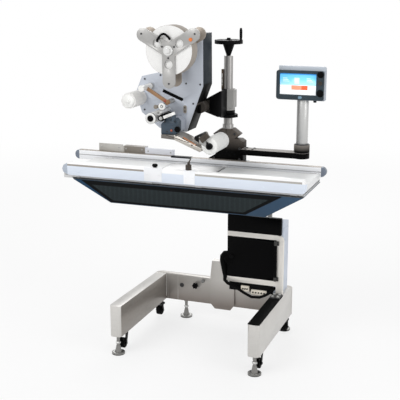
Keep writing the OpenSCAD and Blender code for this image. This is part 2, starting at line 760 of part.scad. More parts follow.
// Handwheel with its cone hub and the lead screw inside the mast
rim_t = 18;
rim_rise = 58;
rim_z = mast_top + rim_rise;
cone_r = 30;
wheel_holes = 3;
wheel_hole_lean = 60;
wheel_hole_share = 0.62;
wheel_hole_r_share = 0.18;
grip_share = [[0, 0], [0.8, 0], [1, 0.3], [1, 0.8], [0.6, 1], [0, 1]];
module handwheel() {
    color("#101012") difference() {
        union() {
            bar_z(mast_x, mast_y, rim_z, rim_z + rim_t, rim_r);
            translate([mast_x, mast_y, mast_top + gap])
                cylinder(h = rim_z - mast_top, r1 = cone_r / 3, r2 = cone_r, $fn = fine);
            bar_z(mast_x, mast_y, screw_z0, mast_top + over, screw_r);
        }
        for (k = [0 : wheel_holes - 1]) rotate_about(mast_x, mast_y, wheel_hole_lean + k * 360 / wheel_holes)
            bar_z(mast_x + rim_r * wheel_hole_share, mast_y, rim_z - over, rim_z + rim_t + over,
                rim_r * wheel_hole_r_share);
        bar_z(mast_x + rim_r - grip_r, mast_y, rim_z + rim_t / 2, rim_z + rim_t + over, shaft_r + run);
    }
}
module rotate_about(x, y, a) {
    translate([x, y, 0]) rotate(a) translate([-x, -y, 0]) children();
}
module wheel_grip() {
    x = mast_x + rim_r - grip_r;
    z = rim_z + rim_t + gap;
    color("#131313") {
        bar_z(x, mast_y, rim_z + rim_t / 2 + gap, z + over, shaft_r);
        translate([x, mast_y, z]) rotate_extrude()
            polygon([for (p = grip_share) [grip_r * p[0], grip_h * p[1]]]);
    }
}

// Slide on the mast, with the nut on the screw and the arm that holds the head's pivot
arm_y0 = plate_y + plate_t + case_d + edge_r;
slide_r = 34;
slide_low_share = 0.28;
boss_web_share = 0.8;
screw_nut_r = mast_r - edge_r - gap;
module mast_slide() {
    z1 = slide_z + slide_h;
    boss = pivot_r * 2;
    color("#111113") difference() {
        union() {
            bar_z(mast_x, mast_y, slide_z, z1, slide_r);
            slab_y(arm_y0, mast_y) difference() {
                union() {
                    translate([pivot_x, pivot_z]) circle(r = boss, $fn = fine);
                    polygon([[pivot_x - boss / 2, pivot_z + boss * boss_web_share], [mast_x - edge_r, z1],
                        [mast_x + edge_r, z1], [mast_x + edge_r, slide_z], [mast_x - slide_r / 2, slide_z],
                        [pivot_x, pivot_z - boss]]);
                }
                translate([pivot_x, pivot_z]) circle(r = pivot_r + run, $fn = fine);
            }
            span([mast_x + edge_r, mast_y - slide_r, slide_z + slide_h * slide_low_share],
                [mast_x + slide_r + edge_r, mast_y + slide_r / 2, z1 - edge_r]);
        }
        bar_z(mast_x, mast_y, slide_z - over, z1 + over, mast_r + run);
    }
    color("#111113") difference() {
        union() {
            bar_z(mast_x, mast_y, slide_z + edge_r, slide_z + slide_h / 3, screw_nut_r);
            span([mast_x - slot_w / 2 + gap, mast_y + screw_r + over, slide_z + edge_r],
                [mast_x + slot_w / 2 - gap, mast_y + slide_r - over, slide_z + slide_h / 3]);
        }
        bar_z(mast_x, mast_y, slide_z, slide_z + slide_h, screw_r + run);
    }
}
ring_lobes = 6;
module lock_ring() {
    z1 = slide_z - gap;
    color("#121212") difference() {
        union() {
            bar_z(mast_x, mast_y, z1 - ring_t, z1, ring_r - edge_r);
            for (k = [0 : ring_lobes - 1]) rotate_about(mast_x, mast_y, k * 360 / ring_lobes)
                bar_z(mast_x + ring_r - 2 * edge_r, mast_y, z1 - ring_t, z1, 2 * edge_r);
        }
        bar_z(mast_x, mast_y, z1 - ring_t - over, z1 + over, mast_r + run);
    }
}

// Display arm from the mast foot, with the post, and the case, bezel and screen that swivel on the post
disp_arm_rise = 43;
disp_arm_z = mast_foot_z + disp_arm_rise;
post_z0 = disp_arm_z + disp_arm_h;
socket_wall = 10;
socket_r = disp_post_r + socket_wall;
socket_h = 67;
swivel_r = 10;
swivel_h = 40;
case_left_w = 115;
case_front_d = 27;
case_x0 = disp_x - case_left_w;
case_y0 = disp_y - case_front_d;
case_y1 = case_y0 + disp_d;
case_h = 160;
bezel_shift = 8;
case_w = disp_w - bezel_shift;
bezel_x0 = case_x0 - bezel_shift;
bezel_z0 = disp_z + wall;
bezel_y0 = case_y0 - bezel_t;
screen_left_w = 18;
screen_x0 = bezel_x0 + screen_left_w;
screen_w = 175;
screen_rise = 24;
screen_z0 = bezel_z0 + screen_rise;
screen_h = 100;
screen_deep = 3;
screen_sunk = 1;
button_right_w = 17;
bezel_r = 12;
button_x = bezel_x0 + disp_w - button_right_w;
start_rise = 122;
start_z = bezel_z0 + start_rise;
start_r = 13;
stop_rise = 34;
stop_z = bezel_z0 + stop_rise;
stop_r = 15;
button_out = 7;
button_travel = 3;
module display_arm() {
    color("#17181a") difference() {
        union() {
            span([foot_x1, disp_y - disp_arm_d / 2, disp_arm_z], [disp_x, disp_y + disp_arm_d / 2, post_z0]);
            translate([disp_x, disp_y, disp_arm_z]) cylinder(h = socket_h, r = socket_r, $fn = fine);
        }
        bar_z(disp_x, disp_y, post_z0, disp_arm_z + socket_h + over, disp_post_r + run);
    }
}
module display_post() {
    color("#e3e5e8") {
        bar_z(disp_x, disp_y, post_z0, disp_z - gap, disp_post_r);
        bar_z(disp_x, disp_y, post_z0, disp_z + swivel_h, swivel_r);
    }
}
module display_case() {
    x1 = case_x0 + case_w;
    z1 = disp_z + case_h;
    tuck = disp_d / 2;
    color("#c9ccd1") difference() {
        translate([x1, 0, 0]) rotate([0, -90, 0]) linear_extrude(height = case_w) polygon([
            [disp_z, case_y0], [disp_z, case_y1], [z1 - tuck / 2, case_y1], [z1, case_y1 - tuck],
            [z1, case_y0 + edge_r], [bezel_z0 + disp_h, case_y0]]);
        difference() {
            span([case_x0 + wall, case_y0 - over, disp_z + wall],
                [x1 - wall, case_y1 - 2 * wall, bezel_z0 + disp_h - wall]);
            bar_z(disp_x, disp_y, disp_z, disp_z + swivel_h + wall, swivel_r + wall);
            span([disp_x - swivel_r, disp_y, disp_z], [disp_x + swivel_r, case_y1, disp_z + swivel_h + wall]);
        }
        bar_z(disp_x, disp_y, disp_z - over, disp_z + swivel_h + gap, swivel_r + run);
    }
}
module display_bezel() {
    color("#323c44") difference() {
        slab_y(bezel_y0, case_y0) {
            translate([bezel_x0 + bezel_r, bezel_z0]) square([disp_w - 2 * bezel_r, disp_h]);
            translate([bezel_x0, bezel_z0 + bezel_r]) square([disp_w, disp_h - 2 * bezel_r]);
            for (x = [bezel_r, disp_w - bezel_r], z = [bezel_r, disp_h - bezel_r])
                translate([bezel_x0 + x, bezel_z0 + z]) circle(r = bezel_r);
        }
        span([screen_x0, bezel_y0 - over, screen_z0],
            [screen_x0 + screen_w, bezel_y0 + screen_deep, screen_z0 + screen_h]);
        bar_y(button_x, start_z, bezel_y0 - over, case_y0 + over, start_r + run);
        bar_y(button_x, stop_z, bezel_y0 - over, case_y0 + over, stop_r + run);
    }
}
module screen_panel() {
    color("#64c8ff") span([screen_x0 + gap, bezel_y0 + screen_sunk, screen_z0 + gap],
        [screen_x0 + screen_w - gap, bezel_y0 + screen_deep, screen_z0 + screen_h - gap]);
}
module push_button(z, r) {
    color("#303436") {
        bar_y(button_x, z, bezel_y0 - button_out, case_y0 - button_travel - gap, r);
    }
}
module start_button() { push_button(start_z, start_r); }
module stop_button() { push_button(stop_z, stop_r); }

// Head plate: the flat front plate of the applicator, with the studs that its rollers run on. The outlines
// are lists of places in X and Z.
plate_y1 = plate_y + plate_t;
plate_shape = [[25, 1537], [112, 1539], [114, 1291], [31, 1071], [-106, 1082], [-200, 1155], [-230, 1250],
    [-197, 1329], [-103, 1351], [-26, 1410]];
case_shape = [[30, 1532], [112, 1534], [114, 1291], [31, 1071], [-40, 1077], [-60, 1150], [-60, 1400]];
tension_at = [-39, 1219];
tension_end = [-150, 1284];
guide_at = [-104, 1146];
nip_at = [-63, 1175.5];
drive_at = [-51.5, 1149.6];
spool_at = [-208, 1226];
disc_at = [-72, 1204];
slot_at = [[-85, 1263], [9, 1225]];
plate_slot_w = 12;
disc_r = 8;
hub_hole_r = 12;
reel_boss_r = 26;
boss_at = [26, 1180];
boss_rx = 10;
boss_h = 26;
reel_out = 156;
reel_y0 = plate_y - reel_out;
stud_end = plate_y - web_w;
tension_out = 62;
tension_y = plate_y - tension_out;
tension_t = 10;
module plate_stud(p, y) {
    bar_y(p[0], p[1], y, plate_y + over, shaft_r);
}
module plate_slot(a, d) {
    translate(a) rotate(atan2(d[1], d[0])) translate([0, -plate_slot_w / 2]) square([norm(d), plate_slot_w]);
    for (p = [a, a + d]) translate(p) circle(r = plate_slot_w / 2 - gap);
}
module head_plate() {
    color("#b2bac8") {
        difference() {
            slab_y(plate_y, plate_y1) union() {
                polygon(plate_shape);
                translate([reel_x, reel_z]) circle(r = reel_boss_r);
            }
            slab_y(plate_y - over, plate_y1 + over) plate_slot(slot_at[0], slot_at[1] - slot_at[0]);
        }
        slab_y(plate_y - edge_r, plate_y + over) strip([boss_at[0], boss_at[1] - boss_h / 2],
            [boss_at[0], boss_at[1] + boss_h / 2], 2 * boss_rx);
        plate_stud(guide_at, stud_end);
        plate_stud(nip_at, stud_end);
        plate_stud(drive_at, stud_end);
        plate_stud(tension_at, tension_y - tension_t);
        plate_stud(spool_at, plate_y - spool_l);
        bar_y(disc_at[0], disc_at[1], stud_end - 2 * wall, plate_y + over, disc_r);
        bar_y(reel_x, reel_z, reel_y0 + over, plate_y + over, hub_hole_r);
    }
}
module head_case() {
    y1 = plate_y1 + case_d;
    color("#33383c") {
        difference() {
            slab_y(plate_y1, y1) polygon(case_shape);
            slab_y(plate_y1 - over, y1 - wall) case_inside();
        }
        bar_y(pivot_x, pivot_z, plate_y1 + case_d / 2, y1, 2 * pivot_r);
        bar_y(pivot_x, pivot_z, plate_y1 + case_d / 2, mast_y - over, pivot_r);
    }
}

// Inside of the case, its outline drawn in towards the middle
case_mid = [48, 1310];
case_in_share = 0.955;
module case_inside() {
    polygon([for (p = case_shape) case_mid + case_in_share * (p - case_mid)]);
}

// Print block under the rollers, and the beam whose thin edge peels the labels off
block_x0 = -59;
block_x1 = 25;
block_z0 = 1072;
block_z1 = 1148;
block_d = 100;
block_cut = 29;
beam_w = 110;
beam_tip = [146, 1008];
lug_at = [130, 1068];
lug_r = 12;
lug_t = 12;
beam_under = [[10, 1050], [-55, 1054]];
beam_top_x = 18;
tip_top = 10;
tip_nose = [2, -3];
tip_heel = [-8, -8];
lug_foot = [90, 1030];
module print_block() {
    color("#d5d9de") slab_y(plate_y - block_d, plate_y) {
        polygon([[block_x0, block_z0], [block_x1 - block_cut / 2, block_z0], [block_x1, block_z0 + block_cut / 2],
            [block_x1, block_z1 - block_cut / 2], [block_x1 - block_cut / 2, block_z1],
            [block_x0 + block_cut, block_z1], [block_x0, block_z1 - block_cut]]);
    }
}
module peel_beam() {
    color("#dfe2e8") {
        slab_y(plate_y - beam_w, plate_y) polygon([[block_x0 + edge_r, block_z0], [beam_top_x, block_z0],
            beam_tip + [0, tip_top], beam_tip + tip_nose, beam_tip + tip_heel, beam_under[0], beam_under[1]]);
        slab_y(plate_y - lug_t, plate_y) {
            translate(lug_at) circle(r = lug_r);
            polygon([lug_at + [-lug_r, 0], lug_at + [lug_r, 0], beam_tip, lug_foot]);
        }
        bar_y(lug_at[0], lug_at[1], plate_y - foam_l / 2, plate_y - over, shaft_r);
    }
}

// Label reel: hub with a star of three arms in front and one behind, and the roll of labels on it
back_star_out = 76;
back_star_y = plate_y - back_star_out;
roll_y0 = reel_y0 + arm_t + over;
roll_sides = 96;
reel_arms = 3;
lean_step = 360 / reel_arms;
hole_at = 63;
hole_r = 20;
module star(y0) {
    slab_y(y0, y0 + arm_t) difference() {
        union() {
            for (k = [0 : reel_arms - 1]) let (a = arm_lean + k * lean_step) strip([reel_x, reel_z],
                [reel_x, reel_z] + (arm_l - arm_w / 2) * [cos(a), sin(a)], arm_w);
        }
        for (k = [0 : reel_arms - 1]) let (a = arm_lean + k * lean_step)
            circle_at(reel_x + hole_at * cos(a), reel_z + hole_at * sin(a), hole_r);
    }
}
module circle_at(x, y, r) {
    translate([x, y]) circle(r = r);
}
module reel_holder() {
    color("#e9ebee") difference() {
        union() {
            star(reel_y0);
            star(back_star_y);
            bar_y(reel_x, reel_z, reel_y0 + over, back_star_y + over, hub_r);
            bar_y(reel_x, reel_z, back_star_y, plate_y - gap, hub_r - edge_r);
        }
        bar_y(reel_x, reel_z, reel_y0 - over, plate_y, hub_hole_r + run);
    }
}
module label_roll() {
    color("#f3f4f6") difference() {
        translate([reel_x, roll_y0 + roll_w, reel_z]) rotate([90, 0, 0])
            cylinder(h = roll_w, r = roll_r, $fn = roll_sides);
        bar_y(reel_x, reel_z, roll_y0 - over, roll_y0 + roll_w + over, hub_r + run);
    }
}

// Tension arm, the rollers on the plate's studs, and the rewind spool
module tension_arm() {
    y = tension_y - tension_t;
    color("#8a5a36") difference() {
        union() {
            slab_y(y, tension_y) strip(tension_at, tension_end, 4 * edge_r);
            bar_y(tension_at[0], tension_at[1], y, plate_y - gap, lug_r);
            bar_y(tension_end[0], tension_end[1], plate_y - web_w, plate_y - edge_r, 2 * edge_r);
        }
        bar_y(tension_at[0], tension_at[1], y - over, plate_y, shaft_r + run);
    }
}
module web_roller(p, r, l) {
    color("#c4c7cb") difference() {
        bar_y(p[0], p[1], plate_y - l, plate_y - gap, r);
        bar_y(p[0], p[1], plate_y - l - over, plate_y, shaft_r + run);
    }
}
module guide_roller() { web_roller(guide_at, guide_r, web_w); }
module nip_roller() { web_roller(nip_at, nip_r, web_w); }
module drive_roller() { web_roller(drive_at, drive_r, web_w); }
module rewind_spool() {
    color("#c2c4c8") difference() {
        union() {
            bar_y(spool_at[0], spool_at[1], plate_y - spool_l, plate_y - gap, spool_r - edge_r);
            bar_y(spool_at[0], spool_at[1], plate_y - edge_r, plate_y - gap, spool_r);
            bar_y(spool_at[0], spool_at[1], plate_y - spool_l, plate_y - spool_l + edge_r, spool_r);
        }
        bar_y(spool_at[0], spool_at[1], plate_y - spool_l - over, plate_y, shaft_r + run);
    }
}

// Foam press roller on its swinging arm
foam_at = [191, 1033];
foam_out = 120;
foam_y0 = plate_y - foam_out;
cheek_t = 8;
cheek_y1 = foam_y0 - gap;
foam_core_r = 15;
module foam_arm() {
    y0 = cheek_y1 - cheek_t;
    color("#1a1a1c") difference() {
        union() {
            slab_y(y0, cheek_y1) strip(lug_at, foam_at, 2 * lug_r);
            bar_y(lug_at[0], lug_at[1], y0, plate_y - lug_t - gap, lug_r);
            bar_y(foam_at[0], foam_at[1], y0 - cheek_t / 2, foam_y0 + foam_l, shaft_r);
            bar_y(foam_at[0], foam_at[1], y0 - cheek_t / 2, cheek_y1, foam_core_r);
        }
        bar_y(lug_at[0], lug_at[1], y0 + edge_r, plate_y, shaft_r + run);
    }
}
module foam_roller() {
    color("#dcdcda") difference() {
        bar_y(foam_at[0], foam_at[1], foam_y0, foam_y0 + foam_l, foam_r);
        bar_y(foam_at[0], foam_at[1], foam_y0 - over, foam_y0 + foam_l + over, shaft_r + run);
    }
}

left_leg();
right_leg();
rear_beam();
leg_pad();
column();
cabinet_box();
trim_frame();
hose();
tray_shell();
front_panel();
front_rail();
rear_rail();
belt_frame();
conveyor_belts();
rear_guides();
sensor_bracket();
mast_foot();
mast_tube();
display_arm();
display_post();
foot_front_left();
foot_front_right();
foot_rear_left();
foot_rear_right();
fork_front_left();
fork_front_right();
fork_rear_left();
fork_rear_right();
wheel_front_left();
wheel_front_right();
wheel_rear_left();
wheel_rear_right();
cabinet_door();
display_case();
display_bezel();
screen_panel();
start_button();
stop_button();
handwheel();
wheel_grip();
mast_slide();
lock_ring();
head_plate();
head_case();
print_block();
peel_beam();
reel_holder();
label_roll();
tension_arm();
guide_roller();
nip_roller();
drive_roller();
foam_arm();
foam_roller();
rewind_spool();
infeed_nose_roller();
infeed_drive_roller();
outfeed_drive_roller();
outfeed_nose_roller();
rail_knob();
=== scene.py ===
"""Looks of a top labeling machine: finishes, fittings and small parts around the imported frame."""
import math

import bmesh
import bpy
from mathutils import Matrix, Vector


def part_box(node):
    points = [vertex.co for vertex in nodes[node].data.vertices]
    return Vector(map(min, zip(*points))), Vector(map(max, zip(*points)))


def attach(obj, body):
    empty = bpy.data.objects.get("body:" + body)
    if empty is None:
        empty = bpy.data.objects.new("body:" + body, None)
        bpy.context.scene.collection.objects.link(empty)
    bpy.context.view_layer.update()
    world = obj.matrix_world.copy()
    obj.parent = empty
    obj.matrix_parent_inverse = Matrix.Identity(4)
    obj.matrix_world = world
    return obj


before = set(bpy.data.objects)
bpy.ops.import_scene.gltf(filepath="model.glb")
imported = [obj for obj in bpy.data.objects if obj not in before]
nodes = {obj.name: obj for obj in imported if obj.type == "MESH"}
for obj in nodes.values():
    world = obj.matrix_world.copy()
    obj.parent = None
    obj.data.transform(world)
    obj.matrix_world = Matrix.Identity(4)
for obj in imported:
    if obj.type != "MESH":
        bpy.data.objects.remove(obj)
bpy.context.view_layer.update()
MM = 0.001
CORNERS = ("front_left", "front_right", "rear_left", "rear_right")
FRONT, BACK, UP, DOWN = (0, -1, 0), (0, 1, 0), (0, 0, 1), (0, 0, -1)
RIGHT, LEFT = (1, 0, 0), (-1, 0, 0)
BEVEL_SEGMENTS = 2
PIECE_SHARP = math.radians(35)
NODE_SHARP = math.radians(32)
MERGE_DISTANCE = 1e-6
WELD_DISTANCE = 2e-6

# Depths of the bumps, in metres, and the pointiness just above that of a flat face
GRAIN_DEPTH = 0.00012
WEAVE_DEPTH = 0.00015
HOLE_DEPTH = 0.0006
RING_DEPTH = 0.0002
PORE_DEPTH = 0.0009
GLASS_DEPTH = 0.00003
FLAT_POINTINESS = 0.52


# Materials: every finish is a node tree on object coordinates, which are metres in the model's own frame
class Finish:
    """A node tree under construction, with short ways to add and join its nodes."""

    def __init__(self, name):
        self.material = bpy.data.materials.new(name)
        self.material.use_nodes = True
        self.tree = self.material.node_tree
        self.shader = self.tree.nodes["Principled BSDF"]
        self.place = self.add("ShaderNodeTexCoord").outputs["Object"]

    def add(self, kind, **values):
        """Adds a node. A value named i_X_Y goes on its input "X Y", any other one is set as a property."""
        node = self.tree.nodes.new(kind)
        for key, value in values.items():
            if key.startswith("i_"):
                node.inputs[key[2:].replace("_", " ")].default_value = value
            else:
                setattr(node, key, value)
        return node

    def link(self, a, b):
        self.tree.links.new(a, b)

    def noise(self, scale, detail, stretch=(1, 1, 1), rough=0.5):
        """Noise that repeats every 1/scale metres, drawn out along the axes whose stretch is small."""
        mapping = self.add("ShaderNodeMapping", i_Scale=stretch)
        self.link(self.place, mapping.inputs["Vector"])
        noise = self.add("ShaderNodeTexNoise", i_Scale=scale, i_Detail=detail, i_Roughness=rough)
        self.link(mapping.outputs["Vector"], noise.inputs["Vector"])
        return noise.outputs["Fac"]

    def ramp(self, factor, stops):
        """Colour ramp over (place, colour) stops."""
        ramp = self.add("ShaderNodeValToRGB")
        elements = ramp.color_ramp.elements
        while len(elements) < len(stops):
            elements.new(0.5)
        for element, (place, colour) in zip(elements, stops):
            element.position = place
            element.color = (*colour, 1.0)
        self.link(factor, ramp.inputs["Fac"])
        return ramp.outputs["Color"]

    def span(self, factor, low, high):
        """The factor's 0 to 1 brought to low to high."""
        node = self.add("ShaderNodeMapRange")
        node.inputs["To Min"].default_value = low
        node.inputs["To Max"].default_value = high
        self.link(factor, node.inputs["Value"])
        return node.outputs["Result"]

    def math(self, operation, a, b=None):
        """Math node on numbers or sockets."""
        node = self.add("ShaderNodeMath", operation=operation)
        for socket, value in zip(node.inputs, (a, b)):
            if value is None:
                continue
            if isinstance(value, (int, float)):
                socket.default_value = value
            else:
                self.link(value, socket)
        return node.outputs["Value"]

    def axis(self, letter):
        """X, Y or Z of the place, in metres."""
        split = self.add("ShaderNodeSeparateXYZ")
        self.link(self.place, split.inputs["Vector"])
        return split.outputs[letter]

    def wave(self, letter, turns):
        """Sine of a coordinate, whose pitch is 2 pi / turns metres."""
        return self.math("SINE", self.math("MULTIPLY", self.axis(letter), turns))

    def mix(self, factor, a, b):
        """Colour a where the factor is 0 and b where it is 1."""
        node = self.add("ShaderNodeMix", data_type="RGBA")
        for socket, value in ((node.inputs[0], factor), (node.inputs[6], a), (node.inputs[7], b)):
            if isinstance(value, tuple):
                socket.default_value = (*value, 1.0)
            elif isinstance(value, (int, float)):
                socket.default_value = value
            else:
                self.link(value, socket)
        return node.outputs[2]

    def zoned(self, colour, zones):
        """Lays more colours over a colour. A zone is a mask, what it is called with, and a colour."""
        for mask, *where, other in zones:
            colour = self.mix(mask(self, *where), colour, other)
        return colour

    def bump(self, height, depth, strength):
        """Bump whose full height is depth metres."""
        node = self.add("ShaderNodeBump", i_Strength=strength, i_Distance=depth)
        self.link(height, node.inputs["Height"])
        self.link(node.outputs["Normal"], self.shader.inputs["Normal"])

    def edge_wear(self, colour, worn, amount):
        """Rubbed edges where the surface turns sharply, broken up by noise."""
        pointed = self.add("ShaderNodeNewGeometry").outputs["Pointiness"]
        edge = self.math("MULTIPLY", self.math("SUBTRACT", pointed, FLAT_POINTINESS), amount)
        spots = self.math("MULTIPLY", edge, self.noise(60, 4))
        node = self.add("ShaderNodeClamp")
        self.link(spots, node.inputs["Value"])
        return self.mix(node.outputs["Result"], colour, worn)

    def set(self, socket, value):
        """Gives one of the shader's own sockets a plain value."""
        self.shader.inputs[socket].default_value = value

    def surface(self, colour, rough):
        """Joins the colour and the roughness, a number or a socket, to the shader."""
        self.link(colour, self.shader.inputs["Base Color"])
        if isinstance(rough, float):
            self.set("Roughness", rough)
        else:
            self.link(rough, self.shader.inputs["Roughness"])


def shade(colour, factor):
    """The colour made lighter or darker by a factor."""
    return tuple(min(1.0, c * factor) for c in colour)


def metal(name, colour, rough, metallic, grain, grain_scale=14.0, spread=0.10, zones=()):
    """Bare or satin metal: a fine brushed grain along one axis, and faint large clouds."""
    f = Finish(name)
    f.set("Metallic", metallic)
    brushed = f.noise(grain_scale, 6.0, grain, 0.65)
    clouds = f.noise(5.0, 2.0)
    blend = f.math("MULTIPLY", f.math("ADD", brushed, clouds), 0.5)
    tone = f.ramp(blend, [(0.3, shade(colour, 1 - spread)), (0.7, shade(colour, 1 + spread))])
    tone = f.zoned(tone, zones)
    f.surface(f.edge_wear(tone, shade(colour, 1.25), 3.0), f.span(brushed, rough - 0.07, rough + 0.09))
    f.bump(brushed, GRAIN_DEPTH, 0.25)
    return f.material


def paint(name, colour, rough, peel=0.00018, spread=0.08, gloss=0.5, zones=()):
    """Powder or gloss paint: orange-peel bump, faint dust and rubbed edges."""
    f = Finish(name)
    f.set("Specular IOR Level", gloss)
    clouds = f.noise(6.0, 4.0)
    tone = f.ramp(clouds, [(0.35, shade(colour, 1 - spread)), (0.65, shade(colour, 1 + spread))])
    tone = f.zoned(tone, zones)
    worn = tuple(c * 1.3 + 0.004 for c in colour)
    f.surface(f.edge_wear(tone, worn, 2.0), f.span(f.noise(25, 5), rough - 0.06, rough + 0.1))
    f.bump(f.noise(420, 2), peel, 0.35)
    return f.material


def moulded(name, colour, rough, grain=900.0, depth=0.0001, gloss=0.4):
    """Moulded plastic or rubber with a fine spark-eroded grain."""
    f = Finish(name)
    f.set("Specular IOR Level", gloss)
    clouds = f.noise(18.0, 3.0)
    tone = f.ramp(clouds, [(0.35, shade(colour, 0.85)), (0.65, shade(colour, 1.15))])
    worn = tuple(c * 1.3 + 0.002 for c in colour)
    f.surface(f.edge_wear(tone, worn, 2.5), f.span(f.noise(30, 4), rough - 0.06, rough + 0.08))
    f.bump(f.noise(grain, 2), depth, 0.5)
    return f.material


def belt_cloth(name, colour, threads):
    """Belt cover: a cross weave, threads in radians per metre, under a skin with faint travel marks."""
    f = Finish(name)
    tracks = f.noise(3.0, 5.0, (0.4, 14, 1))
    tone = f.ramp(tracks, [(0.3, shade(colour, 0.93)), (0.7, colour)])
    f.surface(tone, f.span(tracks, 0.38, 0.52))
    f.bump(f.math("MULTIPLY", f.wave("X", threads), f.wave("Y", threads)), WEAVE_DEPTH, 0.4)
    return f.material


def mesh_cloth(name, colour, pitch, zones):
    """Perforated dark panel: rows of small round holes on a pitch in metres."""
    f = Finish(name)
    turns = 2 * math.pi / pitch
    cut = f.math("GREATER_THAN", f.math("MULTIPLY", f.wave("X", turns), f.wave("Z", turns)), 0.35)
    ribs = f.span(f.wave("X", turns / 6), 0.3, 0.7)
    base = f.ramp(ribs, [(0.3, shade(colour, 0.9)), (0.7, shade(colour, 1.1))])
    f.surface(f.zoned(f.mix(cut, base, shade(colour, 0.25)), zones), 0.55)
    f.set("Specular IOR Level", 0.1)
    f.bump(f.math("MULTIPLY", cut, -1.0), HOLE_DEPTH, 0.8)
    return f.material


def paper(name, colour, axis_x, axis_z, pitch, rim, outer_shade):
    """Wound paper: fine rings round an axis along Y, and a painted shade colour on the outer face beyond
    the rim's radius.
    """
    f = Finish(name)
    dx = f.math("SUBTRACT", f.axis("X"), axis_x)
    dz = f.math("SUBTRACT", f.axis("Z"), axis_z)
    radius = f.math("SQRT", f.math("ADD", f.math("MULTIPLY", dx, dx), f.math("MULTIPLY", dz, dz)))
    rings = f.math("SINE", f.math("MULTIPLY", radius, 2 * math.pi / pitch))
    uneven = f.math("MULTIPLY", f.span(rings, 0.2, 0.8), f.span(f.noise(40, 4), 0.7, 1.3))
    tone = f.ramp(uneven, [(0.2, shade(colour, 0.90)), (0.6, colour)])
    f.surface(f.mix(f.math("GREATER_THAN", radius, rim), tone, outer_shade), 0.75)
    f.bump(rings, RING_DEPTH, 0.5)
    return f.material


def foam(name, colour):
    """Open-cell foam: small dark pores."""
    f = Finish(name)
    cells = f.add("ShaderNodeTexVoronoi", i_Scale=420.0)
    f.link(f.place, cells.inputs["Vector"])
    distance = cells.outputs["Distance"]
    f.surface(f.ramp(distance, [(0.1, shade(colour, 0.72)), (0.45, colour)]), 0.92)
    f.bump(distance, PORE_DEPTH, 0.8)
    return f.material


def band(f, letter, low, high):
    """1 where the coordinate lies between low and high, in metres."""
    value = f.axis(letter)
    above = f.math("GREATER_THAN", value, low)
    below = f.math("LESS_THAN", value, high)
    return f.math("MULTIPLY", above, below)


def fade(f, letter, low, high):
    """0 below low and 1 above high, even between them, in metres."""
    node = f.add("ShaderNodeMapRange")
    node.inputs["From Min"].default_value = low
    node.inputs["From Max"].default_value = high
    f.link(f.axis(letter), node.inputs["Value"])
    return node.outputs["Result"]


def beyond(f, a, b):
    """1 on the left of the line from a to b, two (x, z) places in metres."""
    along = (b[0] - a[0], b[1] - a[1])
    first = f.math("MULTIPLY", f.math("SUBTRACT", f.axis("Z"), a[1]), along[0])
    second = f.math("MULTIPLY", f.math("SUBTRACT", f.axis("X"), a[0]), along[1])
    return f.math("GREATER_THAN", f.math("SUBTRACT", first, second), 0.0)


def patch(f, x0, x1, z0, z1):
    """1 inside a rectangle seen from the front, in metres."""
    return f.math("MULTIPLY", band(f, "X", x0, x1), band(f, "Z", z0, z1))


def block(f, x0, x1, y0, y1, z0, z1):
    """1 inside a box, in metres."""
    return f.math("MULTIPLY", patch(f, x0, x1, z0, z1), band(f, "Y", y0, y1))


def lit_screen(name, low, high):
    """A generic operator page: a blue upper part, a white lower part, plain bars and coloured fields."""
    f = Finish(name)
    wide = high.x - low.x
    tall = high.z - low.z

    def at(x0, x1, z0, z1):
        return patch(f, low.x + x0 * wide, low.x + x1 * wide, low.z + z0 * tall, low.z + z1 * tall)

    rise = fade(f, "Z", low.z + 0.45 * tall, high.z)
    page = f.ramp(rise, [(0.0, (0.42, 0.78, 1.0)), (0.5, (0.18, 0.60, 1.0)), (1.0, (0.12, 0.50, 1.0))])
    page = f.mix(at(0.0, 1.0, 0.0, 0.45), page, (0.92, 0.94, 0.96))
    page = f.mix(at(0.0, 1.0, 0.95, 1.0), page, (0.05, 0.26, 0.62))
    page = f.mix(at(0.32, 0.77, 0.23, 0.44), page, (0.84, 0.30, 0.18))
    page = f.mix(at(0.60, 0.77, 0.23, 0.44), page, (0.88, 0.11, 0.03))
    page = f.mix(at(0.40, 0.54, 0.50, 0.80), page, (0.60, 0.84, 1.0))
    for k in range(3):
        bar = 0.62 + 0.07 * k
        page = f.mix(at(0.08, 0.26 - 0.03 * k, bar, bar + 0.025), page, (0.80, 0.92, 1.0))
        page = f.mix(at(0.74, 0.92 - 0.04 * k, bar, bar + 0.025), page, (0.80, 0.92, 1.0))
    f.surface(page, 0.18)
    f.link(page, f.shader.inputs["Emission Color"])
    f.set("Emission Strength", 0.55)
    f.bump(f.noise(900, 1), GLASS_DEPTH, 0.2)
    return f.material


def ruler(name, colour, pitch):
    """Light strip with plain dark ticks on a pitch in metres."""
    f = Finish(name)
    turns = 2 * math.pi / pitch
    ticks = f.math("GREATER_THAN", f.wave("Z", turns), 0.75)
    tall = f.math("GREATER_THAN", f.wave("Z", turns / 5), 0.9)
    tone = f.mix(f.math("MAXIMUM", ticks, tall), colour, (0.03, 0.03, 0.03))
    f.surface(tone, f.span(f.noise(60, 3), 0.35, 0.5))
    return f.material


def soften(thing, bevel, sharp):
    """Rounds the edges sharper than an angle with a modifier of bevel millimetres."""
    edge = thing.modifiers.new("edges", "BEVEL")
    edge.width = bevel * MM
    edge.segments = BEVEL_SEGMENTS
    edge.limit_method = "ANGLE"
    edge.angle_limit = sharp
    edge.harden_normals = True


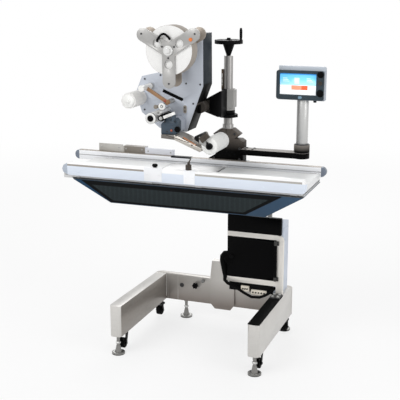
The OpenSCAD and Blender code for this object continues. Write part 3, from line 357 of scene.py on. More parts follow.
# Meshes: each piece is made in mesh code from millimetres, bevelled, and rides on a body
class Piece:
    """A mesh under construction. All its sizes and places are millimetres in the model's frame."""

    def __init__(self):
        self.bm = bmesh.new()

    def box(self, low, high):
        """A box between two opposite corners."""
        size = (Vector(high) - Vector(low)) * MM
        middle = (Vector(high) + Vector(low)) * MM / 2
        place = Matrix.Translation(middle) @ Matrix.Diagonal((*size, 1.0))
        bmesh.ops.create_cube(self.bm, size=1.0, matrix=place)
        return self

    def lathe(self, profile, origin, axis, steps):
        """Revolves (radius, height) points round an axis through origin."""
        turn = Vector(axis).to_track_quat("Z", "Y").to_matrix().to_4x4()
        place = Matrix.Translation(Vector(origin) * MM) @ turn
        rings = []
        for k in range(steps):
            a = math.radians(360.0 * k / steps)
            rings.append([self.bm.verts.new(place @ (Vector((r * math.cos(a), r * math.sin(a), h)) * MM))
                          for r, h in profile])
        for k in range(steps):
            one, two = rings[k], rings[(k + 1) % steps]
            for i in range(len(profile) - 1):
                self.bm.faces.new((one[i], two[i], two[i + 1], one[i + 1]))
        return self

    def disc(self, at, axis, radius, tall, lip=1.0, steps=32):
        """A solid round cap with a chamfer at its outer end."""
        profile = [(0, 0), (radius, 0), (radius, tall - lip), (radius - lip, tall), (0, tall)]
        return self.lathe(profile, at, axis, steps)

    def ring(self, at, axis, outer, inner, tall, steps=32):
        """A plain ring round its axis."""
        profile = [(inner, 0), (outer, 0), (outer, tall), (inner, tall), (inner, 0)]
        return self.lathe(profile, at, axis, steps)

    def loft(self, outlines):
        """Joins equal closed outlines of (x, y, z) points, and closes both ends."""
        rings = [[self.bm.verts.new(Vector(p) * MM) for p in outline] for outline in outlines]
        count = len(rings[0])
        for one, two in zip(rings, rings[1:]):
            for i in range(count):
                j = (i + 1) % count
                self.bm.faces.new((one[i], one[j], two[j], two[i]))
        self.bm.faces.new(list(reversed(rings[0])))
        self.bm.faces.new(rings[-1])
        return self

    def prism(self, outline, y0, y1):
        """Carries an outline of (x, z) points from y0 to y1."""
        return self.loft([[(x, y, z) for x, z in outline] for y in (y0, y1)])

    def plan(self, outline, z0, z1):
        """Carries an outline of (x, y) points from z0 to z1."""
        return self.loft([[(x, y, z) for x, y in outline] for z in (z0, z1)])

    def side(self, outline, x0, x1):
        """Carries an outline of (y, z) points from x0 to x1."""
        return self.loft([[(x, y, z) for y, z in outline] for x in (x0, x1)])

    def tube(self, points, radius, sides):
        """A round tube along points, with closed ends."""
        points = [Vector(p) for p in points]
        rings = []
        normal = None
        for k, point in enumerate(points):
            ahead = points[min(k + 1, len(points) - 1)] - points[max(k - 1, 0)]
            along = ahead.normalized()
            if normal is None:
                normal = along.orthogonal().normalized()
            normal = (normal - along * normal.dot(along)).normalized()
            across = along.cross(normal)
            rings.append([point + radius * (math.cos(a) * normal + math.sin(a) * across)
                          for a in (2 * math.pi * i / sides for i in range(sides))])
        return self.loft(rings)

    def screw(self, at, axis, head, tall):
        """A cap screw's head of radius head: a chamfered drum with a hex socket."""
        key, floor = head * 0.5, tall * 0.45
        drum = [(0, 0), (head, 0), (head, tall * 0.8), (head * 0.86, tall), (key, tall)]
        self.lathe(drum, at, axis, 20)
        return self.lathe([(key, tall), (key * 0.96, floor), (0, floor)], at, axis, 6)

    def screws(self, places, axis, head, tall):
        """The same screw at each place."""
        for at in places:
            self.screw(at, axis, head, tall)
        return self

    def nut(self, at, axis, radius, tall):
        """A hexagon nut or bolt head with a chamfered outer end."""
        profile = [(0, 0), (radius, 0), (radius, tall * 0.8), (radius * 0.88, tall), (0, tall)]
        return self.lathe(profile, at, axis, 6)

    def done(self, name, material, body, slot, bevel=0.5):
        """Turns the mesh into an object with rounded edges that rides on its body."""
        bmesh.ops.remove_doubles(self.bm, verts=self.bm.verts, dist=MERGE_DISTANCE)
        bmesh.ops.recalc_face_normals(self.bm, faces=self.bm.faces)
        mesh = bpy.data.meshes.new(name)
        self.bm.to_mesh(mesh)
        self.bm.free()
        for polygon in mesh.polygons:
            polygon.use_smooth = True
        mesh.set_sharp_from_angle(angle=PIECE_SHARP)
        piece = bpy.data.objects.new(name, mesh)
        bpy.context.scene.collection.objects.link(piece)
        mesh.materials.append(material)
        if bevel:
            soften(piece, bevel, PIECE_SHARP)
        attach(piece, body)


def curved(points, steps):
    """Catmull-Rom points through a few given ones, with steps of them to a stretch."""
    points = [Vector(p) for p in points]
    whole = [points[0] * 2 - points[1], *points, points[-1] * 2 - points[-2]]
    found = []
    for a, b, c, d in zip(whole, whole[1:], whole[2:], whole[3:]):
        for k in range(steps):
            t = k / steps
            found.append(0.5 * (2 * b + (c - a) * t + (2 * a - 5 * b + 4 * c - d) * t * t
                                + (3 * b - 3 * c + d - a) * t ** 3))
    return [*found, points[-1]]


def rounded(x0, x1, z0, z1, radius, steps=5):
    """Outline of a rectangle with round corners."""
    corners = ((x1 - radius, z1 - radius, 0), (x0 + radius, z1 - radius, 90),
               (x0 + radius, z0 + radius, 180), (x1 - radius, z0 + radius, 270))
    return [(cx + radius * math.cos(math.radians(a + 90 * k / steps)),
             cz + radius * math.sin(math.radians(a + 90 * k / steps)))
            for cx, cz, a in corners for k in range(steps + 1)]


def lean_box(a, b, width):
    """Outline of a bar from a to b, two places in a plane."""
    dx, dz = b[0] - a[0], b[1] - a[1]
    length = math.hypot(dx, dz)
    ox, oz = -dz / length * width / 2, dx / length * width / 2
    return [(a[0] - ox, a[1] - oz), (b[0] - ox, b[1] - oz), (b[0] + ox, b[1] + oz), (a[0] + ox, a[1] + oz)]


def circle(centre, radius, count):
    """Places evenly round a centre in a plane, the first one on its right."""
    turns = [2 * math.pi * k / count for k in range(count)]
    return [(centre[0] + radius * math.cos(a), centre[1] + radius * math.sin(a)) for a in turns]


def front(place, y):
    """The (x, y, z) point of a place seen from the front."""
    return place[0], y, place[1]


def at_y(places, y):
    """The (x, y, z) points of several places seen from the front."""
    return [front(place, y) for place in places]


# Finishes by name, colours as linear red, green and blue. Each zone is a mask, the places in metres that it
# is called with, and its colour
STAINLESS = (0.60, 0.585, 0.56)
HULL_BLUE = (0.020, 0.055, 0.105)
JET = (0.002, 0.002, 0.0022)
SOOT = (0.002, 0.002, 0.002)
PANEL_EDGE = (0.002, 0.0025, 0.003)
END_CAP = (0.16, 0.19, 0.24)
WEAVE_TURNS = 2600.0
ROLL_RIM, ROLL_PITCH = 0.1122, 1.6 * MM
WOUND_RIM, WOUND_PITCH = 0.0365, 1.2 * MM
WOUND_X, WOUND_Z = -0.208, 1.226
HOLE_PITCH = 4.0 * MM
TICK_PITCH = 5.0 * MM

stainless = metal("stainless_brushed", STAINLESS, 0.36, 0.6, (1, 1, 30))
# The band at X -0.2015 to -0.19 m paints brown-grey shade on the left leg's inner face
leg_steel = metal("stainless_left_leg_shaded_inner", STAINLESS, 0.36, 0.5, (1, 1, 30), zones=[
    (band, "X", -0.2015, -0.19, (0.26, 0.235, 0.21))])
# The rear beam is dark brown low down and fades to light grey by 0.24 m: painted shade and light by height
beam_steel = metal("stainless_long_grain_shaded_low", (0.22, 0.19, 0.17), 0.36, 0.5, (60, 60, 2), 10.0, zones=[
    (fade, "Z", 0.10, 0.24, (0.56, 0.54, 0.51))])
steel = metal("steel_turned", (0.48, 0.48, 0.47), 0.28, 0.9, (1, 1, 40))
foot_steel = metal("steel_foot", (0.24, 0.235, 0.225), 0.34, 0.7, (1, 1, 40), zones=[
    (band, "Z", -0.1, 0.0035, (0.010, 0.010, 0.010))])
dark_steel = metal("steel_dark", (0.06, 0.06, 0.062), 0.38, 0.7, (1, 1, 60))
rail_alu = metal("aluminium_blue_satin", (0.74, 0.80, 0.90), 0.42, 0.2, (2, 40, 40), 8.0, 0.04, [
    (fade, "Z", 0.9105, 0.9115, (0.93, 0.93, 0.93)),
    # The groove between 0.911 and 0.920 m is painted brown-grey shade, darker on the left stretch than the
    # right
    (patch, -0.505, -0.10, 0.911, 0.920, (0.30, 0.27, 0.24)),
    (patch, 0.155, 0.655, 0.911, 0.920, (0.42, 0.40, 0.37)),
    (band, "X", -0.60, -0.500, (0.42, 0.47, 0.55))])
rear_alu = metal("aluminium_grey_satin", (0.84, 0.85, 0.87), 0.40, 0.25, (2, 40, 40), 8.0, 0.04, [
    (band, "Z", 0.9035, 0.91, (0.30, 0.26, 0.22)),
    # A near-black patch on the top edge from X -0.128 to -0.011 m is painted shadow of the gap between
    # belts and rear rail
    (patch, -0.128, -0.011, 0.9015, 0.9036, (0.02, 0.02, 0.02)),
    (block, -1, 1, 0.15, 0.1605, 0.879, 0.883, (0.36, 0.36, 0.37)),
    (band, "X", 0.648, 0.70, END_CAP), (band, "X", -0.70, -0.648, END_CAP)])
plate_alu = metal("aluminium_anodised_blue", (0.54, 0.575, 0.64), 0.38, 0.35, (2, 40, 40), 9.0, 0.06)
# The belt frame's front strip under the front rail is painted near-black shade
frame_alu = metal("aluminium_shaded_under_rail", (0.62, 0.62, 0.62), 0.36, 0.5, (2, 30, 30), zones=[
    (block, -0.49, 0.70, -0.30, -0.2125, 0.80, 0.8505, (0.010, 0.011, 0.012))])
# The rear spider behind the label roll, from Y -0.11 m back, is painted brown-grey shade
reel_alu = metal("aluminium_cast_grey_shaded_rear", (0.40, 0.395, 0.385), 0.38, 0.45, (2, 30, 30), 12.0, 0.12, [
    (band, "Y", -0.11, 0.0, (0.30, 0.26, 0.22))])
bright_alu = metal("aluminium_bright", (0.74, 0.74, 0.73), 0.32, 0.5, (2, 30, 30), 12.0, 0.07)
trim_cream = metal("trim_cream_satin", (0.80, 0.77, 0.72), 0.40, 0.25, (2, 30, 30), 12.0, 0.05, [
    (band, "Y", 0.0, 0.0955, (0.004, 0.004, 0.004))])
# The display post is dark on its left side and fades to light grey on its right: painted shade and light
post_alu = metal("aluminium_post_shaded_left", (0.24, 0.24, 0.24), 0.34, 0.5, (40, 40, 1), 12.0, 0.07, [
    (fade, "X", 0.518, 0.548, (0.56, 0.56, 0.55))])
mast_alu = metal("mast_ground", (0.36, 0.35, 0.34), 0.34, 0.4, (60, 60, 1), 12.0)
# The peel beam's left part, under the print block, is painted dark brown-grey shade
beam_alu = metal("aluminium_peel_shaded_under_block", (0.50, 0.47, 0.43), 0.36, 0.4, (40, 2, 40), 12.0, 0.12, [
    (band, "X", -0.10, 0.012, (0.13, 0.12, 0.11))])
bronze = metal("bar_bronze", (0.33, 0.19, 0.10), 0.42, 0.5, (1, 1, 60), zones=[
    (band, "Y", -0.09, 0.0, (0.40, 0.40, 0.39))])
side_blue = paint("column_light_blue", (0.56, 0.61, 0.70), 0.42)
case_grey = paint("case_grey_blue", (0.36, 0.40, 0.46), 0.40, zones=[
    (band, "Z", 1.3625, 1.40, (0.50, 0.55, 0.61))])
guide_grey = paint("guide_warm_grey", (0.52, 0.505, 0.47), 0.45, zones=[
    (band, "X", -0.40, -0.2825, (0.22, 0.195, 0.165)),
    (band, "X", -0.2825, 0.0, (0.80, 0.82, 0.88))])
# The mast foot is black low down and turns taupe above 1.02 m: painted shade and light by height
foot_taupe = paint("mast_foot_taupe", SOOT, 0.46, gloss=0.05, zones=[
    (fade, "Z", 0.950, 1.020, (0.13, 0.112, 0.098))])
slide_black = paint("mast_slide_black", (0.003, 0.003, 0.0035), 0.40, gloss=0.1, zones=[
    (patch, 0.1615, 0.30, 1.150, 1.2565, (0.42, 0.415, 0.40)),
    (patch, 0.0, 0.100, 1.150, 1.210, (0.045, 0.040, 0.036))])
arm_paint = paint("foam_arm_black", (0.005, 0.005, 0.0055), 0.38, gloss=0.1, zones=[
    (band, "X", 0.142, 0.177, (0.42, 0.42, 0.41))])
# A thin pale line on the arm's top edge and a fade to grey up the socket are painted highlights
arm_black = paint("display_arm_black_lit_top", JET, 0.44, gloss=0.05, zones=[
    (band, "Z", 0.9655, 0.9665, (0.36, 0.34, 0.32)),
    (fade, "Z", 0.975, 1.005, (0.22, 0.20, 0.18))])
black_paint = paint("black_satin", JET, 0.46, gloss=0.05)
black_gloss = paint("black_gloss_door", (0.0015, 0.0015, 0.0017), 0.28, 0.00006, 0.05, gloss=0.04)
case_dark = paint("case_charcoal", SOOT, 0.42, gloss=0.06, zones=[
    (fade, "Z", 1.296, 1.302, (0.026, 0.033, 0.040)),
    (patch, 0.079, 0.12, 1.150, 1.209, (0.060, 0.052, 0.046))])
hull_blue = paint("hull_dark_blue", HULL_BLUE, 0.30, 0.0001, 0.1, gloss=0.35)
white_paint = paint("white_satin", (0.88, 0.89, 0.91), 0.4)
block_slate = paint("block_slate", (0.050, 0.072, 0.098), 0.36, gloss=0.3, zones=[
    (band, "Y", -0.085, 0.0, (0.40, 0.43, 0.49))])
bezel_slate = moulded("bezel_slate", (0.030, 0.046, 0.058), 0.36, gloss=0.25)
black_plastic = moulded("black_plastic", (0.0025, 0.0025, 0.0028), 0.46, gloss=0.06)
rubber = moulded("rubber_black", (0.004, 0.004, 0.004), 0.75, 500.0, 0.0002, 0.05)
cream_plastic = moulded("cream_plastic", (0.78, 0.72, 0.62), 0.45)
taupe_plastic = moulded("taupe_plastic", (0.26, 0.23, 0.19), 0.45)
grey_plastic = moulded("grey_plastic", (0.24, 0.24, 0.235), 0.45)
brown_plastic = moulded("brown_plastic", (0.050, 0.038, 0.028), 0.45)
orange_plastic = moulded("orange_plastic", (0.82, 0.22, 0.05), 0.4)
tan_plastic = moulded("tan_plastic", (0.60, 0.27, 0.13), 0.4)
bronze_plastic = moulded("bronze_plastic", (0.14, 0.105, 0.07), 0.45)
red_plastic = moulded("red_plastic", (0.40, 0.10, 0.06), 0.35)
lamp_blue = moulded("lamp_blue", (0.18, 0.29, 0.38), 0.35)
white_plastic = moulded("white_plastic", (0.84, 0.84, 0.82), 0.4)
belt_white = belt_cloth("belt_white", (0.88, 0.89, 0.89), WEAVE_TURNS)
panel_mesh = mesh_cloth("panel_mesh", (0.028, 0.037, 0.040), HOLE_PITCH, [
    (band, "Z", 0.824, 0.850, PANEL_EDGE), (band, "Z", 0.740, 0.755, PANEL_EDGE),
    (beyond, (-0.252, 0.746), (-0.412, 0.8445), PANEL_EDGE),
    (beyond, (0.535, 0.8445), (0.367, 0.746), PANEL_EDGE),
    (beyond, (-0.279, 0.746), (-0.439, 0.8445), HULL_BLUE)])
foam_white = foam("foam_white", (0.86, 0.86, 0.84))
reel_low, reel_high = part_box("label_roll")
reel_x = (reel_low.x + reel_high.x) / 2
reel_z = (reel_low.z + reel_high.z) / 2
# Beyond its rim the label roll's outer face is painted brown-grey shade
roll_paper = paper("label_roll_paper", (0.96, 0.955, 0.94), reel_x, reel_z, ROLL_PITCH, ROLL_RIM,
                   (0.36, 0.32, 0.28))
# Beyond its rim the wound backing's outer face is painted grey shade
wound_paper = paper("backing_paper", (0.92, 0.91, 0.89), WOUND_X, WOUND_Z, WOUND_PITCH, WOUND_RIM,
                    (0.80, 0.79, 0.77))
scale_print = ruler("scale_strip", (0.80, 0.80, 0.76), TICK_PITCH)
screen_low, screen_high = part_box("screen_panel")
screen_lit = lit_screen("screen_lit", screen_low, screen_high)


# CAD nodes: each keeps its shape and gets a finish and softened edges
DRESS = {
    "left_leg": (leg_steel, 1.5), "right_leg": (stainless, 1.5), "rear_beam": (beam_steel, 2.0),
    "leg_pad": (rubber, 0.8), "column": (side_blue, 1.2), "cabinet_box": (black_paint, 1.5),
    "trim_frame": (trim_cream, 1.0), "cabinet_door": (black_gloss, 1.2), "hose": (rubber, 0.0),
    "tray_shell": (hull_blue, 2.0), "front_panel": (panel_mesh, 0.5), "front_rail": (rail_alu, 2.0),
    "rear_rail": (rear_alu, 2.0), "belt_frame": (frame_alu, 0.5), "conveyor_belts": (belt_white, 0.5),
    "rear_guides": (guide_grey, 0.8), "sensor_bracket": (white_paint, 0.6), "mast_foot": (foot_taupe, 0.8),
    "mast_tube": (mast_alu, 0.6), "display_arm": (arm_black, 1.5), "display_post": (post_alu, 0.8),
    "display_case": (case_grey, 1.5), "display_bezel": (bezel_slate, 1.5),
    "screen_panel": (screen_lit, 0.0),
    "start_button": (black_plastic, 0.8), "stop_button": (black_plastic, 0.8),
    "handwheel": (black_plastic, 1.5), "wheel_grip": (black_plastic, 0.8), "mast_slide": (slide_black, 1.5),
    "lock_ring": (black_plastic, 1.2), "head_plate": (plate_alu, 0.8), "head_case": (case_dark, 1.5),
    "print_block": (block_slate, 1.5), "peel_beam": (beam_alu, 0.8), "reel_holder": (reel_alu, 1.0),
    "label_roll": (roll_paper, 0.4), "tension_arm": (bronze, 0.8), "guide_roller": (white_plastic, 0.8),
    "nip_roller": (bright_alu, 0.8), "drive_roller": (rubber, 0.8), "foam_arm": (arm_paint, 1.0),
    "foam_roller": (foam_white, 1.5), "rewind_spool": (white_plastic, 0.8),
    "rail_knob": (black_plastic, 0.8),
}
for corner in CORNERS:
    DRESS["foot_" + corner] = (foot_steel, 0.6)
    DRESS["fork_" + corner] = (black_paint, 0.6)
    DRESS["wheel_" + corner] = (rubber, 0.8)
for roller in ("infeed_nose", "infeed_drive", "outfeed_drive", "outfeed_nose"):
    DRESS[roller + "_roller"] = (steel, 0.5)


def dress(name, material, bevel):
    """Gives a CAD node its finish, and rounds its edges with modifiers alone."""
    node = nodes[name]
    for slot in node.material_slots:
        slot.material = material
    if not node.material_slots:
        node.data.materials.append(material)
    for polygon in node.data.polygons:
        polygon.use_smooth = True
    weld = node.modifiers.new("weld", "WELD")
    weld.merge_threshold = WELD_DISTANCE
    if bevel:
        soften(node, bevel, NODE_SHARP)


for name, (material, bevel) in DRESS.items():
    dress(name, material, bevel)


# Axes of the head's parts seen from the front, as (x, z), and levels along Y, in millimetres
GUIDE, NIP, DRIVE = (-104, 1146), (-63, 1175.5), (-51.5, 1149.6)
TENSION_PIVOT, TENSION_PIN, TENSION_ROLLER = (-49, 1225), (-39, 1219), (-150, 1284)
WEB_DISC, WEB_STUD, REWIND, FOAM = (-40, 1208), (-72, 1204), (-208, 1226), (191, 1033)
BLOCK_KNOB, REEL = (26, 1100), (3, 1467)
PLATE_Y, OVAL_Y, ARM_Y, BLOCK_Y, BEAM_Y, ROLLER_Y, WEB_Y = -30, -37.2, -102, -130, -140, -150, -160
FOAM_ARM_Y, REWIND_Y, REEL_Y = -164.5, -169.6, -186

# Applicator head: plate screws, slot, roller caps, web link and tension arm
plate_places = [(40, 1522), (99, 1524), (101, 1300), (66, 1208), (-80, 1096), (-185, 1168), (-207, 1276),
                (-182, 1316), (-100, 1337), (30, 1302)]
Piece().screws(at_y(plate_places, PLATE_Y), FRONT, 4.5, 2.6).done(
    "plate_screws", dark_steel, "head", "head_plate", 0)
Piece().prism(lean_box((-84, 1262), (8, 1225), 22), -23.6, -20).done(
    "slot_back", black_plastic, "head", "head_case")
Piece().prism(lean_box((-88, 1264), (12, 1224), 15), -31.2, -29.7).done(
    "slot_rim", black_plastic, "head", "head_plate", 0.2)
slider = Piece().prism(lean_box((-60, 1253), (-44, 1246), 10), -35, -26)
slider.disc((-52, -35, 1249.5), FRONT, 6, 3).done("slot_slider", black_plastic, "head", "head_plate")
cap = Piece().disc(front(GUIDE, ROLLER_Y), FRONT, 15, 4, 1.2).disc(front(GUIDE, ROLLER_Y - 4), FRONT, 6, 2)
cap.done("guide_roller_cap", black_plastic, "guide_roller", "guide_roller", 0.4)
for k, y in enumerate((-149.5, -38.5)):
    Piece().ring(front(GUIDE, y), BACK, 26.6, 25.4, 7).done(
        f"guide_roller_lip_{k}", grey_plastic, "guide_roller", "guide_roller", 0.3)
nip = Piece().disc(front(NIP, ROLLER_Y), FRONT, 12, 4, 1).disc(front(NIP, ROLLER_Y - 4), FRONT, 3.4, 2, 0.6)
nip.done("nip_roller_cap", steel, "nip_roller", "nip_roller", 0.3)
drive = Piece().disc(front(DRIVE, ROLLER_Y), FRONT, 9, 3, 1).nut(front(DRIVE, ROLLER_Y - 3), FRONT, 5, 3)
drive.done("drive_roller_cap", steel, "drive_roller", "drive_roller", 0.3)
disc = Piece().disc(front(WEB_DISC, WEB_Y), FRONT, 16.5, 6, 1.2, 40)
disc.screw(front(WEB_DISC, WEB_Y - 6), FRONT, 4.5, 2)
disc.done("web_disc", white_plastic, "head", "head_plate", 0.4)
link = Piece().prism(lean_box((-76, 1203.5), (-36, 1208.5), 13), WEB_Y, -156)
link.disc(front(WEB_STUD, WEB_Y), FRONT, 10, 5).done("web_link", taupe_plastic, "head", "head_plate", 0.6)
stud = Piece().disc(front(TENSION_PIVOT, ARM_Y), FRONT, 7, 4, 1)
stud.screw(front(TENSION_PIVOT, ARM_Y - 4), FRONT, 4, 2)
stud.done("tension_pivot_cap", red_plastic, "tension_arm", "tension_arm", 0.3)
Piece().ring(front(TENSION_ROLLER, -146), BACK, 13, 8.1, 106).done(
    "tension_sleeve", white_plastic, "tension_arm", "tension_arm", 0.6)
for k, (y, finish) in enumerate(((ROLLER_Y, white_plastic), (-40, bronze))):
    Piece().ring(front(TENSION_ROLLER, y), BACK, 15, 8.1, 3.6).done(
        f"tension_collar_{k}", finish, "tension_arm", "tension_arm", 0.3)
Piece().disc(front(TENSION_ROLLER, ROLLER_Y), FRONT, 12, 1.6, 0.6).done(
    "tension_end", white_plastic, "tension_arm", "tension_arm", 0.3)
Piece().disc(front(TENSION_PIN, ARM_Y), FRONT, 7.6, 3, 0.8).done(
    "tension_pin", bronze, "tension_arm", "tension_arm", 0.3)
Piece().ring(front(REWIND, -166), BACK, 37, 26.2, 130, 48).done(
    "wound_backing", wound_paper, "rewind_spool", "rewind_spool", 0.3)
hub = Piece().disc(front(REWIND, REWIND_Y), FRONT, 11, 4, 1).nut(front(REWIND, REWIND_Y - 4), FRONT, 6, 3)
hub.done("spool_hub", white_plastic, "rewind_spool", "rewind_spool", 0.3)

# Print block, peel beam, oval cap and foam roller
knob = Piece()
for place in circle(BLOCK_KNOB, 11.5, 10):
    knob.disc(front(place, BLOCK_Y), FRONT, 3.2, 11, 0.8, 10)
knob.disc(front(BLOCK_KNOB, BLOCK_Y), FRONT, 12.4, 12, 1.2)
knob.disc(front(BLOCK_KNOB, BLOCK_Y - 12), FRONT, 6, 2, 0.6)
knob.done("block_knob", black_plastic, "head", "print_block", 0.3)
Piece().disc((-6, BLOCK_Y, 1092), FRONT, 5.5, 3, 0.8).done(
    "block_dot", red_plastic, "head", "print_block", 0.2)
Piece().screws(at_y([(-40, 1132), (12, 1136), (-28, 1086)], BLOCK_Y), FRONT, 3.6, 2.2).done(
    "block_screws", dark_steel, "head", "print_block", 0)
seam = Piece().prism([(-50, 1126), (14, 1126), (18, 1122), (18, 1117), (-50, 1117)], -132.2, -129.6)
seam.done("block_seam", block_slate, "head", "print_block", 0.3)
bar = Piece().prism(lean_box((-35, 1155.5), (21, 1179), 14), -158, -151.5)
bar.screws([(-18, -158, 1162.6), (5, -158, 1172.3)], FRONT, 3, 1.6)
bar.done("print_bar", white_plastic, "head", "print_block", 0.8)
Piece().prism(lean_box((8, 1138), (11, 1168), 10), -151.5, -122).done(
    "bar_bracket", block_slate, "head", "print_block", 0.6)
Piece().prism(lean_box((54, 1064.5), (119, 1031.5), 3.2), -141.2, -128).done(
    "web_edge", tan_plastic, "head", "peel_beam", 0.4)
Piece().prism(lean_box((-30, 1070.5), (86, 1041), 2.4), -140.8, -132).done(
    "beam_lower_edge", brown_plastic, "head", "peel_beam", 0.3)
Piece().screws(at_y([(20, 1071), (56, 1060), (100, 1030)], BEAM_Y), FRONT, 3.6, 2.2).done(
    "beam_screws", dark_steel, "head", "peel_beam", 0)
Piece().prism(rounded(18, 34, 1161, 1199, 7.9, 8), OVAL_Y, -33.8).done(
    "oval_cap", taupe_plastic, "head", "head_plate", 0.6)
Piece().screws(at_y([(26, 1172), (26, 1188)], OVAL_Y), FRONT, 3.4, 1.8).done(
    "oval_screws", dark_steel, "head", "head_plate", 0)
arm_block = Piece().prism(lean_box((151, 1058), (186, 1088), 27), FOAM_ARM_Y, -150.6)
arm_block.screw((169, FOAM_ARM_Y, 1073), FRONT, 4.4, 2.4)
arm_block.done("foam_arm_block", brown_plastic, "foam_arm", "foam_arm", 1.2)
for name, y, way in (("foam_end_front", ROLLER_Y, FRONT), ("foam_end_rear", 15, BACK)):
    Piece().ring(front(FOAM, y), way, 38, 15.8, 1.6, 40).done(
        name, white_plastic, "foam_roller", "foam_roller", 0.4)
hub = Piece().disc(front(FOAM, -162.2), FRONT, 9, 3, 1).nut(front(FOAM, -165.2), FRONT, 5, 2.6)
hub.done("foam_hub_nut", black_plastic, "foam_arm", "foam_arm", 0.3)

# Label reel: hub knob, curved handle, coloured stop and arm screws
hub = Piece().disc(front(REEL, REEL_Y), FRONT, 23, 7, 1.5, 40)
hub.lathe([(0, 7), (14, 7), (13, 15), (11, 16.5), (0, 16.5)], front(REEL, REEL_Y), FRONT, 8)
hub.done("reel_knob", bright_alu, "reel", "reel_holder", 0.6)
handle = curved([(-50, -186, 1507), (-46, -191, 1516), (-30, -192, 1536), (-12, -192, 1541),
                 (6, -191, 1528), (13, -186.5, 1517)], 5)
Piece().tube(handle, 5.5, 12).done("reel_handle", black_plastic, "reel", "reel_holder", 0)
Piece().disc((112, REEL_Y, 1519), FRONT, 8.5, 4, 1).done(
    "reel_stop", orange_plastic, "reel", "reel_holder", 0.4)
tips = [(REEL[0] + r * math.cos(math.radians(a)), REEL[1] + r * math.sin(math.radians(a)))
        for a in (31, 151, 271) for r in (34, 150)]
Piece().screws(at_y(tips, REEL_Y), FRONT, 4.4, 2.4).done(
    "reel_screws", dark_steel, "reel", "reel_holder", 0)
Piece().ring(front(REEL, -176.8), FRONT, 37, 27.4, 2.0, 40).done(
    "roll_core", cream_plastic, "reel", "label_roll", 0.3)

# Cabinet: latch, terminals under the sill, hose gland and bracket; column: side and rear covers with slots
latch = Piece().disc((222, 96, 432), FRONT, 11, 4, 1).box((219.5, 89.5, 424), (224.5, 92.5, 440))
latch.done("door_latch", black_plastic, "door", "cabinet_door", 0.4)
# A black sheet under the sill stands in for the shaded inside of the cabinet: painted shade
Piece().box((206, 112, 250), (434, 117.7, 298.7)).done(
    "sill_shade_sheet", black_plastic, "base", "cabinet_box", 0.6)
plugs = Piece().box((271, 101, 253), (313, 112, 280)).box((324, 101, 241), (405, 112, 265))
plugs.done("terminals", cream_plastic, "base", "cabinet_box", 1.0)
stubs = Piece()
for x, pitch, z, count in ((282, 11, 266, 3), (335, 14.5, 253, 5)):
    for k in range(count):
        stubs.disc((x + pitch * k, 101, z), FRONT, 3.6, 5, 0.8, 14)
stubs.done("terminal_plugs", black_plastic, "base", "cabinet_box", 0.2)
gland_outline = [(203.8, 436), (172, 436), (160, 425), (166, 385), (186, 352), (203.8, 346)]
Piece().prism(gland_outline, 134, 166).done("hose_gland", rubber, "base", "hose", 3.0)
Piece().box((405, 97, 647.7), (425, 111, 669)).done("top_bracket", grey_plastic, "base", "cabinet_box", 1.0)
side_cover = Piece().side(rounded(130, 214, 300, 590, 5), 477.8, 480)
for k in range(7):
    side_cover.side(rounded(146, 198, 520 + 8 * k, 523 + 8 * k, 1.4, 3), 479.6, 481.2)
side_cover.screws([(480, y, z) for y in (137, 207) for z in (308, 445, 582)], RIGHT, 3.4, 1.8)
side_cover.done("side_cover", side_blue, "base", "column", 0.5)
rear_cover = Piece().prism(rounded(216, 466, 290, 590, 6), 225.8, 228)
for k in range(9):
    rear_cover.prism(rounded(276, 406, 318 + 9 * k, 321.4 + 9 * k, 1.6, 3), 227.6, 229.4)
rear_cover.screws([(x, 228, z) for x in (224, 458) for z in (298, 440, 582)], BACK, 3.4, 1.8)
rear_cover.done("rear_cover", side_blue, "base", "column", 0.5)

# Floor frame: knobs, plug and seams on the beam, cap of the cable post, plate on the right leg
BEAM_KNOB, BEAM_FRONT = (-30, 193), 260
knob = Piece().disc(front(BEAM_KNOB, BEAM_FRONT), FRONT, 7, 8, 0.6)
for place in circle(BEAM_KNOB, 11, 6):
    knob.disc(front(place, 252), FRONT, 5, 12, 1, 14)
knob.disc(front(BEAM_KNOB, 252), FRONT, 12, 12, 1.5)
knob.done("beam_knob", black_plastic, "base", "rear_beam", 0.4)
Piece().disc((10, BEAM_FRONT, 221), FRONT, 9, 10, 1.6).nut((10, 250, 221), FRONT, 5, 3).done(
    "beam_knob_small", grey_plastic, "base", "rear_beam", 0.4)
Piece().ring((-110, 260.2, 184), FRONT, 12, 9, 2).disc((-110, 260.2, 184), FRONT, 9, 0.8, 0.3).done(
    "beam_plug", dark_steel, "base", "rear_beam", 0.2)
seams = Piece()
for x in (-191, -133):
    seams.box((x - 0.8, 259.3, 102), (x + 0.8, 260.5, 236))
for x in (-230, 465):
    seams.tube([(x - 29, BEAM_FRONT, 239), (x + 29, BEAM_FRONT, 239)], 1.8, 8)
    for edge in (x - 30, x + 30):
        seams.tube([(edge, BEAM_FRONT, 112), (edge, BEAM_FRONT, 236)], 1.6, 8)
seams.done("weld_seams", stainless, "base", "rear_beam", 0)
Piece().box((66, 243, 338), (104, 285, 346)).done("post_cap", stainless, "base", "rear_beam", 1.5)
Piece().box((440, 30, 258.8), (490, 93, 264)).done("leg_plate", dark_steel, "base", "leg_pad", 1.0)
nuts = Piece()
for x in (452, 478):
    for y in (45, 80):
        nuts.disc((x, y, 264), UP, 8.5, 1.4, 0.3, 24).nut((x, y, 265.4), UP, 6.5, 5)
nuts.done("leg_plate_nuts", steel, "base", "leg_pad", 0.3)

